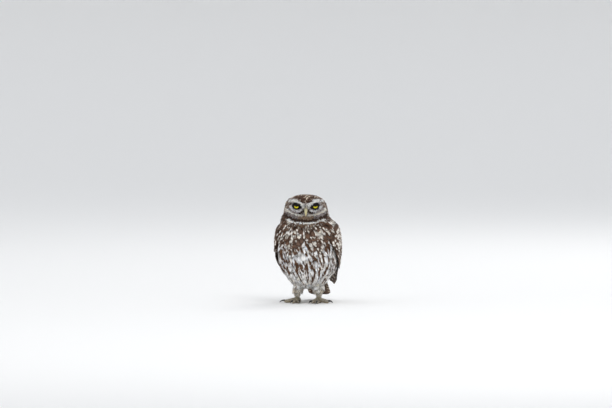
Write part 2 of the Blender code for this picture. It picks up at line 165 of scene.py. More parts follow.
def shapePiece(name, shape):  # an object from a bmesh
    mesh = bpy.data.meshes.new(name)
    shape.to_mesh(mesh)
    shape.free()
    mesh.shade_smooth()
    return linked(bpy.data.objects.new(name, mesh))


def finishPiece(piece, material, slot, nodes=()):
    piece.data.materials.clear()
    piece.data.materials.append(material)
    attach(piece, "root")
    if nodes:
        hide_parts(*nodes)
    return piece


def joinedSolids(names, swell=0.0):  # a bmesh of copies of solids, each merged and swollen
    joined = bmesh.new()
    for name in names:
        part = bmesh.new()
        part.from_mesh(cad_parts[name].data)
        bmesh.ops.remove_doubles(part, verts=part.verts, dist=1e-5)
        part.normal_update()
        for vert in part.verts:
            vert.co += vert.normal * swell
        copy = bpy.data.meshes.new("copy")
        part.to_mesh(copy)
        part.free()
        joined.from_mesh(copy)
        bpy.data.meshes.remove(copy)
    return joined


def steady(shape):  # the same order of points and faces on every run
    place = lambda spot: spot.x + 1.618 * spot.y + 2.718 * spot.z
    shape.verts.sort(key=lambda vert: place(vert.co))
    shape.faces.sort(key=lambda face: place(face.calc_center_median()))
    bmesh.ops.triangulate(shape, faces=shape.faces, quad_method="SHORT_EDGE")
    shape.faces.sort(key=lambda face: place(face.calc_center_median()))


def remeshed(name, shape, voxel, smoothing):  # one even surface over a bmesh of closed shells
    piece = shapePiece(name, shape)
    remesh = piece.modifiers.new("even", "REMESH")
    remesh.mode = "VOXEL"
    remesh.voxel_size = voxel
    if smoothing:
        soften = piece.modifiers.new("soften", "SMOOTH")
        soften.factor = 0.5
        soften.iterations = smoothing
    graph = bpy.context.evaluated_depsgraph_get()
    piece.data = bpy.data.meshes.new_from_object(piece.evaluated_get(graph))
    piece.modifiers.clear()
    piece.data.name = name
    piece.data.shade_smooth()
    return piece


class Surface:  # nearest points and smooth normals on a mesh
    def __init__(self, mesh):
        mesh.calc_loop_triangles()
        count = len(mesh.vertices)
        self.points = np.empty(count * 3, np.float32)
        mesh.vertices.foreach_get("co", self.points)
        self.points = self.points.reshape(-1, 3).astype(float)
        self.normals = np.empty(count * 3, np.float32)
        mesh.vertex_normals.foreach_get("vector", self.normals)
        self.normals = self.normals.reshape(-1, 3).astype(float)
        self.triangles = np.empty(len(mesh.loop_triangles) * 3, np.int32)
        mesh.loop_triangles.foreach_get("vertices", self.triangles)
        self.triangles = self.triangles.reshape(-1, 3)
        self.tree = BVHTree.FromPolygons(self.points.tolist(), self.triangles.tolist(), all_triangles=True)

    def snap(self, points):
        spots, faces = np.empty_like(points), np.empty(len(points), int)
        for i, point in enumerate(points):
            near, _, face, _ = self.tree.find_nearest(Vector(point))
            spots[i], faces[i] = near, face
        return spots, unit(self.normals[self.triangles[faces]].mean(axis=1))

    def scatter(self, count, spacingAt, draw, allowed=None):  # roots no closer than the spacing there
        a, b, c = (self.points[self.triangles[:, i]] for i in range(3))
        area = np.linalg.norm(np.cross(b - a, c - a), axis=1)
        faces = draw.choice(len(area), count, p=area / area.sum())
        u, v = draw.random(count), draw.random(count)
        flip = u + v > 1
        u[flip], v[flip] = 1 - u[flip], 1 - v[flip]
        spots = a[faces] + u[:, None] * (b - a)[faces] + v[:, None] * (c - a)[faces]
        normals = unit(self.normals[self.triangles[faces]].mean(axis=1))
        if allowed is not None:
            keep = allowed(spots, normals)
            spots, normals = spots[keep], normals[keep]
        spacing = spacingAt(spots, normals)
        tree = KDTree(len(spots))
        for i, spot in enumerate(spots):
            tree.insert(spot, i)
        tree.balance()
        free, chosen = np.ones(len(spots), bool), []
        for i, spot in enumerate(spots):
            if free[i]:
                chosen.append(i)
                for _, j, _ in tree.find_range(spot, spacing[i]):
                    free[j] = False
        return spots[chosen], normals[chosen]


# Plumes: closed vanes from grids of points (plume, row, column), with loose barbs round the tip
def growPlumes(name, grid, up, thick, ground, mark, pattern, bakeAt, draw, barbs=None):
    count, rows, columns = grid.shape[:3]
    inner = grid[:, 1:-1, 1:-1] - up[:, 1:-1, 1:-1] * thick
    topSize, innerSize = rows * columns, (rows - 2) * (columns - 2)
    sheet = np.stack(np.meshgrid(np.linspace(0, 1, columns), np.linspace(0, 1, rows)), -1)
    barbCount = barbs["count"] if barbs else 0
    spikes = spikePoints(grid, up, barbs, draw) if barbCount else None
    perPlume = topSize + innerSize + barbCount * 4
    points = np.empty((count, perPlume, 3))
    points[:, :topSize] = grid.reshape(count, -1, 3)
    points[:, topSize:topSize + innerSize] = inner.reshape(count, -1, 3)
    local = np.empty((count, perPlume, 2))
    local[:, :topSize] = sheet.reshape(-1, 2)
    local[:, topSize:topSize + innerSize] = sheet[1:-1, 1:-1].reshape(-1, 2)
    if barbCount:
        points[:, topSize + innerSize:] = spikes[0].reshape(count, -1, 3)
        local[:, topSize + innerSize:] = spikes[1].reshape(count, -1, 2)

    top = np.arange(topSize).reshape(rows, columns)
    under = top.copy()
    under[1:-1, 1:-1] = topSize + np.arange(innerSize).reshape(rows - 2, columns - 2)

    def sheetFaces(index, flip):
        a, b = index[:-1, :-1].ravel(), index[:-1, 1:].ravel()
        c, d = index[1:, 1:].ravel(), index[1:, :-1].ravel()
        faces = np.concatenate([np.stack([a, b, c], 1), np.stack([a, c, d], 1)])
        return faces[:, ::-1] if flip else faces

    faces = [sheetFaces(top, True), sheetFaces(under, False)]
    if barbCount:
        first = topSize + innerSize + 4 * np.arange(barbCount)
        for corners in ((0, 1, 3), (1, 2, 3), (2, 0, 3), (0, 2, 1)):
            faces.append(np.stack([first + corner for corner in corners], 1))
    faces = np.concatenate(faces)
    triangles = (faces[None] + perPlume * np.arange(count)[:, None, None]).reshape(-1, 3)

    patch = 0.003
    bake = bakeAt[:, None] + (local - 0.5) * patch
    each = lambda values: values[:, None].repeat(perPlume, 1).reshape(-1, values.shape[1])
    flat = points.reshape(-1, 3)
    lay = bodyUnwrap(flat)
    lay[:, 0] += 0.17 * lay[:, 1]  # long streaks lean down to the bird's left
    return meshPiece(
        name, flat, triangles,
        uvs=(("featherUV", local.reshape(-1, 2)), ("OFBake", bake.reshape(-1, 2)), ("layUV", lay)),
        paints=(("ground", each(ground)), ("mark", each(mark)), ("pattern", each(pattern))),
    )


def spikePoints(grid, up, barbs, draw):  # four points and their uv for each barb
    count, rows, columns = grid.shape[:3]
    many = barbs["count"]
    q = np.linspace(-1, 1, many)[None].repeat(count, 0) + draw.uniform(-0.6, 0.6, (count, many)) / many
    q = np.clip(q, -1, 1)
    run = 1 - (1 - barbs["from"]) * np.abs(q) ** 1.2
    side = np.clip(q * 3.2, -1, 1)
    row, column = run * (rows - 1), (side + 1) / 2 * (columns - 1)
    r0, c0 = np.minimum(row.astype(int), rows - 2), np.minimum(column.astype(int), columns - 2)
    fr, fc = (row - r0)[..., None], (column - c0)[..., None]
    i = np.arange(count)[:, None]
    rim = (grid[i, r0, c0] * (1 - fr) * (1 - fc) + grid[i, r0 + 1, c0] * fr * (1 - fc)
           + grid[i, r0, c0 + 1] * (1 - fr) * fc + grid[i, r0 + 1, c0 + 1] * fr * fc)
    middle = columns // 2
    ahead = unit(grid[i, r0 + 1, np.full_like(r0, middle)] - grid[i, r0, np.full_like(r0, middle)])
    out = unit(grid[i, r0, np.full_like(r0, columns - 1)] - grid[i, r0, np.zeros_like(r0)])
    rise = up[i, r0, c0]
    lean = np.radians(barbs["lean"]) * side * np.abs(q) ** 0.5 + draw.normal(0, 0.12, (count, many))
    heading = ahead * np.cos(lean)[..., None] + out * np.sin(lean)[..., None]
    heading = unit(heading + rise * draw.normal(0, barbs["lift"], (count, many, 1)))
    length = (barbs["length"] * draw.uniform(0.5, 1.25, (count, many)))[..., None]
    width = barbs["width"] / 2
    crossing = unit(np.cross(heading, rise))
    root = rim - heading * length * 0.35
    a, b = root + crossing * width, root - crossing * width
    c = root - rise * width * 0.8
    tip = rim + heading * length
    uv = np.stack([(side + 1) / 2, run], -1)[:, :, None].repeat(4, 2)
    return np.stack([a, b, c, tip], 2), uv


def bodyGrid(spine, normal, width, outline, columns, camber):  # vanes that follow a spine over the skin
    flow = unit(np.gradient(spine, axis=1))
    side = unit(np.cross(flow, normal))
    up = np.cross(side, flow)
    across = np.linspace(-1, 1, columns)
    reach = (width[:, None] * outline[None])[..., None, None]
    grid = spine[:, :, None] + side[:, :, None] * across[None, None, :, None] * reach
    grid = grid - up[:, :, None] * (camber * across**2)[None, None, :, None] * reach
    return grid, up[:, :, None].repeat(columns, 2)


def layOver(surface, roots, normals, headings, lengths, rows, flowAt):  # spines that follow the lie
    spots, ups = [roots], [normals]
    here, heading = roots, headings
    for _ in range(rows - 1):
        here, up = surface.snap(here + heading * (lengths / (rows - 1))[:, None])
        heading = along(unit(flowAt(here, up) * 0.35 + heading * 0.65), up)
        spots.append(here)
        ups.append(up)
    return np.stack(spots, 1), unit(np.stack(ups, 1))


# Lie of the plumage on head, body and legs
def flowOver(points, normals):
    face, body = inFace(points), inBody(points)
    inFront = ramp(10, -2, face[:, 1])[:, None]
    forward = np.array([math.sin(headTurn), -math.cos(headTurn), 0])
    bill = np.array(faceMiddle) + (forward * 8 + np.array([0, 0, -1])) * mm
    fromBill = unit(points - bill)
    eyes = np.where(face[:, :1] > 0, np.array(eyeMiddles["left"]), np.array(eyeMiddles["right"]))
    fromEye = unit(points - eyes)
    nearEye = ramp(20, 9, fromEyes(face))[:, None] * inFront
    radial = unit(fromBill * (1 - nearEye * 0.65) + fromEye * nearEye * 0.65)
    sideways = np.sign(body[:, 0])
    lean = ramp(30, -30, body[:, 0]) * 0.2 + 0.05
    down = unit(np.stack([lean + sideways * 0.03, 0.22 + 0 * body[:, 1], -1 + 0 * body[:, 2]], 1))
    backward = unit(np.stack([sideways * 0.1, 1 + 0 * body[:, 1], -0.25 + 0 * body[:, 2]], 1))
    head = radial * inFront + backward * (1 - inFront)
    lower = ramp(-10, -19, face[:, 2])[:, None]
    head = unit(head) * (1 - lower) + unit(down + 0.5 * radial * inFront) * lower
    nape = ramp(14, 24, face[:, 1])[:, None] * ramp(18, 4, face[:, 2])[:, None]
    head = unit(head) * (1 - nape) + down * nape
    onHead = ramp(112, 122, body[:, 2])[:, None]
    return along(unit(head) * onHead + down * (1 - onHead), normals)


# Kinds of plumage: lengths in mm with width as half the vane, colours as seen on screen
plumage = {
    "crown": dict(space=2.1, length=7.5, width=1.9, depth=2.0, ground=(90, 65, 51), mark=(240, 225, 208),
                  spot=0.8),
    "temple": dict(space=1.5, length=6.5, width=1.1, depth=2.0, ground=(112, 92, 80), mark=(216, 206, 198),
                   streak=0.7),
    "brow": dict(space=0.9, length=5.5, width=0.8, depth=2.4, ground=(250, 247, 242), mark=(150, 132, 120)),
    "rim": dict(space=0.6, length=2.4, width=0.42, depth=0.8, ground=(24, 19, 17), mark=(60, 50, 44)),
    "cheek": dict(space=0.85, length=4.4, width=0.6, depth=1.4, ground=(240, 237, 238), mark=(150, 138, 132),
                  streak=0.2),
    "disc": dict(space=0.9, length=5.2, width=0.66, depth=1.6, ground=(184, 175, 172), mark=(88, 70, 60),
                 streak=0.6),
    "lore": dict(space=0.8, length=4.2, width=0.45, depth=1.4, ground=(62, 47, 39), mark=(200, 190, 180)),
    "whisker": dict(space=0.85, length=5.5, width=0.65, depth=2.6, ground=(248, 241, 231),
                    mark=(120, 98, 84), streak=0.15),
    "chin": dict(space=1.1, length=5.0, width=0.9, depth=2.0, ground=(164, 142, 120), mark=(90, 68, 54),
                 streak=0.8),
    "collar": dict(space=1.25, length=6.0, width=1.4, depth=2.8, ground=(64, 45, 35), mark=(170, 146, 124),
                   spot=0.15),
    "throat": dict(space=1.1, length=5.5, width=1.4, depth=3.2, ground=(250, 247, 242), mark=(110, 88, 74)),
    "nape": dict(space=2.6, length=11.0, width=3.0, depth=3.2, ground=(102, 78, 63), mark=(238, 230, 220),
                 spot=0.9),
    "breast": dict(space=3.3, length=13.5, width=4.2, depth=4.2, ground=(105, 80, 65), mark=(244, 240, 234),
                   spot=1.0, streak=0.5),
    "belly": dict(space=4.1, length=19.0, width=4.8, depth=5.0, ground=(244, 242, 240), mark=(98, 72, 55),
                  streak=1.0),
    "back": dict(space=3.3, length=14.0, width=4.4, depth=3.8, ground=(100, 77, 62), mark=(236, 228, 218),
                 spot=0.8),
    "vent": dict(space=3.2, length=16.0, width=3.4, depth=4.5, ground=(244, 240, 233), mark=(150, 124, 104),
                 streak=0.3),
    "leg": dict(space=1.35, length=6.0, width=1.05, depth=1.6, ground=(236, 229, 216), mark=(150, 126, 104),
                streak=0.2),
}
# White brow, moustache, pale band under the eye and dark lores: out from the bill and up, in mm
browLine = ((2.6, -1.2), (5.8, 2.2), (9.0, 5.4), (13.5, 7.0), (19.0, 7.4), (24.0, 6.8))
whiskerLine = ((4.2, -13.6), (11.0, -13.2), (20.0, -10.9), (28.0, -5.5))
underEyeLine = ((6.5, -5.4), (9.5, -6.8), (13.5, -6.8), (18.5, -4.6), (21.5, -0.5))
loreLine = ((3.0, -5.0), (6.0, -8.6), (9.5, -10.0))


def plumageShares(points):  # how much of each kind grows at each point
    face, body = inFace(points), inBody(points)
    side, depth, height = np.abs(face[:, 0]), face[:, 1], face[:, 2]
    flat = np.stack([side, height], 1)
    z = body[:, 2]
    onHead = ramp(110, 115, z)
    front = ramp(12, 4, depth) * onHead
    ring = np.hypot(side / 32, (height + 4) / 17)
    browTop = np.interp(side, [0, 4.7, 9, 14.2, 21, 30], [1.2, 4.6, 7.6, 9.0, 9.2, 6.0])
    toEye = np.hypot((side - eyeX) / 1.18, height - 0.5)
    bridge = ramp(5, 3.6, side) * ramp(0.4, -0.6, height - browTop) * ramp(-3.6, -2.2, height)
    outer, thinner = ramp(19, 24, side), 1.1 * ramp(13, 22, side)
    grown = {
        "throat": ramp(10, 2, depth) * bump(1.0, 0.075, np.hypot(side / 38, (height + 4) / 21.2))
                  * ramp(28, 23, side) * ramp(-13, -17, height),
        "collar": ramp(16, 8, depth) * onHead * bump(1.04, 0.12, ring) * ramp(-3, -8, height),
        "brow": front * np.maximum(ramp(2.6, 1.7, lineDistance(flat, browLine) + thinner), bridge),
        "rim": front * ramp(6.3, 5.4, toEye) * ramp(-4.6, -3.2, height),
        "cheek": front * ramp(2.1, 1.1, lineDistance(flat, underEyeLine)),
        "whisker": front * ramp(2.3, 1.4, lineDistance(flat, whiskerLine)),
        "lore": front * ramp(2.1, 1.3, lineDistance(flat, loreLine)),
        "chin": front * ramp(13, 8, side) * ramp(-12, -15, height),
        "crown": onHead * np.clip(ramp(-0.5, 1.2, height - browTop) + ramp(6, 14, depth), 0, 1)
                 * ramp(-14, -4, height),
        "temple": front * outer * ramp(-6, 0, height),
        "disc": front * ramp(1.06, 0.98, ring),
        "nape": ramp(94, 106, z) * ramp(2, 14, body[:, 1]),
        "leg": ramp(25, 21, z),
        "back": ramp(10, 22, body[:, 1]) * ramp(32, 42, z),
        "vent": ramp(38, 28, z) * ramp(-20, 4, body[:, 1]),
    }
    shares, rest = {}, np.ones(len(points))
    for kind, share in grown.items():
        shares[kind] = np.clip(share, 0, 1) * rest
        rest = rest - shares[kind]
    wave = 6 * np.sin(body[:, 0] * 0.19 + 1.1) + 4 * np.sin(body[:, 0] * 0.43)
    breast = ramp(76 + wave, 88 + wave, z)
    shares["breast"] = rest * breast
    shares["belly"] = rest * (1 - breast)
    return shares


def blendOf(shares, key):
    return sum(share * plumage[kind][key] for kind, share in shares.items())


def coatDepth(points):  # from the skin out to the feather tips, metres
    face = inFace(points)
    depth = blendOf(plumageShares(points), "depth")
    inFront = ramp(4, -2, face[:, 1])
    thin = ramp(5.5, 10, fromEyes(face)) * inFront + (1 - inFront)
    nearBill = ramp(3.5, 8, np.hypot(face[:, 0], face[:, 2] + 6)) * inFront + (1 - inFront)
    body = inBody(points)
    depth = depth - np.maximum(depth - 3, 0) * ramp(32, 36, np.abs(body[:, 0])) * ramp(36, 44, body[:, 2])
    return mm * (0.6 + (depth - 0.6) * thin * nearBill)


# Skin: one surface inside head, neck, torso and legs
def makeSkin():
    size = {"bridge": 0.3 * mm, "voxel": 1.3 * mm, "smoothing": 4}
    shape = joinedSolids(["head", "neck", "torso", "leg_left", "leg_right"], size["bridge"])
    skin = remeshed("skin", shape, size["voxel"], size["smoothing"])
    surface = Surface(skin.data)
    sunk = surface.points - surface.normals * (coatDepth(surface.points) + size["bridge"])[:, None]
    skin.data.vertices.foreach_set("co", sunk.astype(np.float32).ravel())
    skin.data.update()
    soften = bmesh.new()
    soften.from_mesh(skin.data)
    for _ in range(3):
        bmesh.ops.smooth_vert(soften, verts=soften.verts, factor=0.5,
                              use_axis_x=True, use_axis_y=True, use_axis_z=True)
    soften.to_mesh(skin.data)
    soften.free()
    skin.data.shade_smooth()
    surface = Surface(skin.data)
    face = inFace(surface.points)
    # Painted shade: the skin shows only between the plumes, so it takes their ground colour darkened to 55%;
    # round the eyes it goes near black, the bird's own dark skin there together with painted shade in the
    # gaps
    shade = 0.55 - 0.47 * ramp(9, 7.5, fromEyes(face)) * ramp(4, -2, face[:, 1])
    shares = plumageShares(surface.points)
    colour = sum(share[:, None] * rgb(*plumage[kind]["ground"]) for kind, share in shares.items())
    colour = np.concatenate([colour * shade[:, None], np.ones((len(colour), 1))], 1)
    layer = skin.data.attributes.new("ground", "FLOAT_COLOR", "POINT")
    layer.data.foreach_set("color", colour.astype(np.float32).ravel())
    print("skin", len(skin.data.polygons), "faces")
    return skin, surface


# Where the folded wings cover the body, small feathers are left out
def wingCover():
    cover = joinedSolids(["wing_left", "wing_right"])
    tree = BVHTree.FromBMesh(cover)
    cover.free()
    return tree


def hiddenUnder(tree, points, ways, reach=16 * mm):
    met = [tree.ray_cast(Vector(point), Vector(way), reach)[0] for point, way in zip(points, ways)]
    return np.array([spot is not None for spot in met])


def sizeNear(points):  # smaller plumes round the eyes and down the legs
    face, body = inFace(points), inBody(points)
    nearEyes = ramp(10, 7.5, fromEyes(face)) * ramp(4, -2, face[:, 1])
    return (1 - 0.42 * nearEyes) * (0.7 + 0.3 * ramp(24, 36, body[:, 2]))


# Share of a plume's width from its root to its tip
plumeOutline = np.array([0.5, 0.8, 0.96, 1.0, 0.94, 0.74, 0.3])


def plumeRoots(surface, cover, draw):  # where plumes grow, with their flow, length and width
    spacingAt = lambda p, n: blendOf(plumageShares(p), "space") * sizeNear(p) * mm
    roots, normals = surface.scatter(160000, spacingAt, draw)
    flow = flowOver(roots, normals)
    shares = plumageShares(roots)
    face, body = inFace(roots), inBody(roots)
    inFront = ramp(2, -4, face[:, 1])
    clear = ramp(6.0, 12, fromEyes(face)) * inFront + (1 - inFront)
    length = blendOf(shares, "length") * mm * (0.58 + 0.42 * clear) * draw.uniform(0.82, 1.18, len(roots))
    width = blendOf(shares, "width") * mm * sizeNear(roots) ** 0.5 * draw.uniform(0.85, 1.15, len(roots))
    length = length * (0.75 + 0.25 * ramp(24, 36, body[:, 2]))
    fromLid = np.hypot((np.abs(face[:, 0]) - eyeX) / 1.15, face[:, 2] - 0.2)
    inEye = (fromLid < 4.3) & (face[:, 1] < 4)
    inBill = (np.hypot(face[:, 0] / 2.6, (face[:, 2] + 6.0) / 6.5) < 1) & (face[:, 1] < -4)
    underFoot = body[:, 2] < 8.5
    ahead = roots + flow * length[:, None] * 0.8
    forward = unit(normals + np.array([0, -1.2, 0]))
    covered = (hiddenUnder(cover, roots, normals) & hiddenUnder(cover, ahead, normals)
               & hiddenUnder(cover, roots, forward, 30 * mm))
    keep = ~(inEye | inBill | underFoot | covered)
    return [values[keep] for values in (roots, normals, flow, length, width)]


def plumeColours(middle, draw):
    # each plume takes the colours of one kind, the one its visible tip lies in
    count, kinds = len(middle), list(plumage)
    here = plumageShares(middle)
    chances = np.stack([here[kind] for kind in kinds], 1)
    picked = np.argmax(chances + draw.uniform(-0.15, 0.15, chances.shape) * (chances > 0.02), axis=1)
    kindOf = np.array(kinds)[picked]
    ofKind = lambda key: np.array([plumage[kind].get(key, 0) for kind in kinds], float)[picked]
    ground, mark = rgb(*ofKind("ground").T).T, rgb(*ofKind("mark").T).T
    tone = draw.normal(1, 0.12, (count, 1)) + draw.normal(0, 0.04, (count, 1)) * np.array([[1, 0.2, -0.8]])
    ground = np.clip(ground * tone, 0, 1)
    mark = np.clip(mark * (1 + draw.uniform(0, 1, (count, 1)) * np.array([[0, -0.05, -0.14]])), 0, 1)
    mark = mark * np.where(kindOf == "breast", draw.uniform(0.62, 1, count), 1)[:, None]
    spot = ofKind("spot") * draw.uniform(np.where(kindOf == "crown", 0.5, 0.15), 1)
    spot = spot * (draw.random(count) < np.where(np.isin(kindOf, ("breast", "crown")), 0.5, 0.75))
    streak = ofKind("streak") * draw.uniform(0.7, 1, count)
    lower = ramp(20, 55, inBody(middle)[:, 2])
    streak = np.where(kindOf == "belly", streak * (0.35 + 0.65 * lower), streak * (draw.random(count) < 0.8))
    dark = (draw.random(count) < 0.22) & (kindOf == "disc")
    ground = np.where(dark[:, None], ground * 0.35, ground)
    return kindOf, ground, mark, np.stack([spot, streak, draw.random(count)], 1)


def bodyCoat(surface, cover):
    draw = np.random.default_rng(11)
    size = {"rows": 7, "barbWidth": 0.22 * mm, "thick": 0.16 * mm, "sunk": 0.25 * mm}
    roots, normals, flow, length, width = plumeRoots(surface, cover, draw)
    body, count = inBody(roots), len(roots)
    headings = astray(flow, normals, 0.13, draw)
    spine, ups = layOver(surface, roots, normals, headings, length, size["rows"], flowOver)
    depth = np.maximum(coatDepth(roots) * draw.uniform(0.85, 1.15, count), 0.6 * mm)
    shoulder = bump(34, 10, np.abs(body[:, 0])) * bump(110, 11, body[:, 2]) * ramp(40, 20, body[:, 1])
    depth = depth + 3.4 * mm * shoulder
    run = np.linspace(0, 1, size["rows"])
    sunk = np.minimum(size["sunk"], 0.2 * depth)[:, None]
    lift = -sunk + (depth[:, None] + sunk) * run[None] ** 0.75
    spine = spine + ups * lift[..., None]
    roll = draw.normal(0, 0.12, count)[:, None, None]
    tilted = unit(ups + np.cross(unit(np.gradient(spine, axis=1)), ups) * roll)

    kindOf, ground, mark, pattern = plumeColours(roots + headings * length[:, None] * 0.8, draw)
    isKind = lambda *some: np.isin(kindOf, some)
    bakeAt = bodyUnwrap(roots)
    big = isKind("belly", "breast", "back", "vent", "nape")
    leftSide = body[:, 0] > 0
    groups = {
        "brow_plumage": (isKind("brow", "rim", "lore"), 1.0 * mm, 10),
        "disc_plumage": (isKind("disc", "cheek", "whisker", "chin"), 1.0 * mm, 10),
        "crown_plumage": (isKind("crown", "temple"), 1.0 * mm, 12),
        "neck_plumage": (isKind("collar", "throat", "nape"), 1.6 * mm, 14),
        "breast_left": (isKind("breast") & leftSide, 2.8 * mm, 34),
        "breast_right": (isKind("breast") & ~leftSide, 2.8 * mm, 34),
        "belly_left": (isKind("belly", "vent") & leftSide, 3.6 * mm, 38),
        "belly_right": (isKind("belly", "vent") & ~leftSide, 3.6 * mm, 38),
        "back_plumage": (isKind("back"), 2.2 * mm, 20),
        "leg_plumage": (isKind("leg"), 1.2 * mm, 9),
    }
    made = {}
    for name, (pick, barbLength, barbCount) in groups.items():
        columns = 5 if big[pick].mean() > 0.4 else 3
        grid, up = bodyGrid(spine[pick], tilted[pick], width[pick], plumeOutline, columns, 0.24)
        barbs = {"count": barbCount, "from": 0.4, "length": barbLength, "width": size["barbWidth"],
                 "lean": 46, "lift": 0.1}
        made[name] = growPlumes(name, grid, up, size["thick"], ground[pick], mark[pick], pattern[pick],
                                bakeAt[pick], draw, barbs)
        print(name, pick.sum(), "plumes", len(made[name].data.polygons), "triangles")
    return made


# Folded wings: a sheet over the body between three lines from shoulder to tip, in body millimetres
wingLines = {
    "lead": ((36, -30, 104), (43, -24, 91), (45, -5, 68), (40, 26, 44), (27, 55, 29), (18, 73, 26)),
    "middle": ((38.5, -3, 111.5), (46, 10, 97), (42, 28, 76), (31, 46, 54), (21, 62, 38), (14, 76, 28)),
    "trail": ((26, 26, 113.5), (25, 38, 104), (22, 47, 85), (16, 56, 65), (11, 66, 46), (10, 77, 31)),
}


def smoothLine(rows, position):  # points on the smooth curve through rows
    rows = np.asarray(rows, float)
    last = len(rows) - 2
    start = np.clip((position * (last + 1)).astype(int), 0, last)
    t = (position * (last + 1) - start)[..., None]
    padded = np.concatenate([[2 * rows[0] - rows[1]], rows, [2 * rows[-1] - rows[-2]]])
    a, b, c, d = (padded[start + i] for i in range(4))
    return 0.5 * (2 * b + (c - a) * t + (2 * a - 5 * b + 4 * c - d) * t**2 + (3 * b - a - 3 * c + d) * t**3)


class WingSheet:
    def __init__(self):
        body = joinedSolids(["head", "neck", "torso"])
        self.body = BVHTree.FromBMesh(body)
        body.free()

    def raw(self, run, across):
        w = np.clip(across, -0.25, 1.25)[..., None]
        lead, middle, trail = (smoothLine(wingLines[key], run) for key in ("lead", "middle", "trail"))
        return fromBody(lead * (1 - w) * (1 - 2 * w) + middle * 4 * w * (1 - w) + trail * w * (2 * w - 1))

    def width(self, run):
        ends = self.raw(run, np.ones_like(run)) - self.raw(run, np.zeros_like(run))
        return np.linalg.norm(ends, axis=-1)

    def place(self, run, across, lift):  # points and outward normals
        step = 0.01
        here = self.raw(run, across)
        along = self.raw(run + step, across) - self.raw(run - step, across)
        sideways = self.raw(run, across + step) - self.raw(run, across - step)
        normal = unit(np.cross(along, sideways))
        reach = 40 * mm
        flatHere, flatNormal = here.reshape(-1, 3), normal.reshape(-1, 3)
        depth = np.zeros(len(flatHere))
        for i, (point, out) in enumerate(zip(flatHere, flatNormal)):
            hit = self.body.ray_cast(Vector(point + out * reach), Vector(-out), 2 * reach)
            if hit[0] is not None:
                depth[i] = reach - hit[3]
        depth = depth.reshape(run.shape)
        loose = ramp(0.5, 0.75, run)
        depth = (1 - loose) * depth + loose * np.maximum(depth, 0)
        return here + normal * (depth + lift)[..., None], normal

    def vanes(self, feathers, rows, columns, outline, arch):
        # each feather: root and tip as (run, across), half width mm, lift mm at root and tip, tilt mm
        across = np.linspace(-1, 1, columns)[None, None, :]
        t = np.linspace(0, 1, rows)[None, :, None]
        pick = lambda feather, i, j: feather[i] if j is None else feather[i][j]
        column = lambda i, j=None: np.array([pick(feather, i, j) for feather in feathers])[:, None, None]
        run = column(0, 0) + (column(1, 0) - column(0, 0)) * t + 0 * across
        middle = column(0, 1) + (column(1, 1) - column(0, 1)) * t
        half = column(2) * mm * outline[None, :, None]
        place = middle + across * half / self.width(run[..., :1])
        lift = column(3, 0) + (column(3, 1) - column(3, 0)) * t - across * column(4) * t - arch * across**2
        grid, up = self.place(run, place, lift * mm)
        bakeAt = np.stack([0.1 + 0.8 * (run[:, 0, 0]), 0.15 + 0.7 * middle[:, 0, 0]], 1)
        return grid, up, bakeAt


def mirrorGrid(grid, up):  # the right wing, with its columns turned round
    flip = np.array([-1, 1, 1])
    return (grid * flip)[:, :, ::-1], (up * flip)[:, :, ::-1]


def flightOutline(rows, tipFrom=0.86):
    t = np.linspace(0, 1, rows)
    tip = np.sqrt(np.clip(1 - np.clip((t - tipFrom) / (1 - tipFrom), 0, 1) ** 2, 0.02, 1))
    return (0.55 + 0.45 * ramp(0, 0.35, t)) * tip


def covertOutline(rows):
    t = np.linspace(0, 1, rows)
    tip = np.sqrt(np.clip(1 - np.clip((t - 0.62) / 0.38, 0, 1) ** 2.2, 0.03, 1))
    return (0.6 + 0.4 * ramp(0, 0.4, t)) * tip


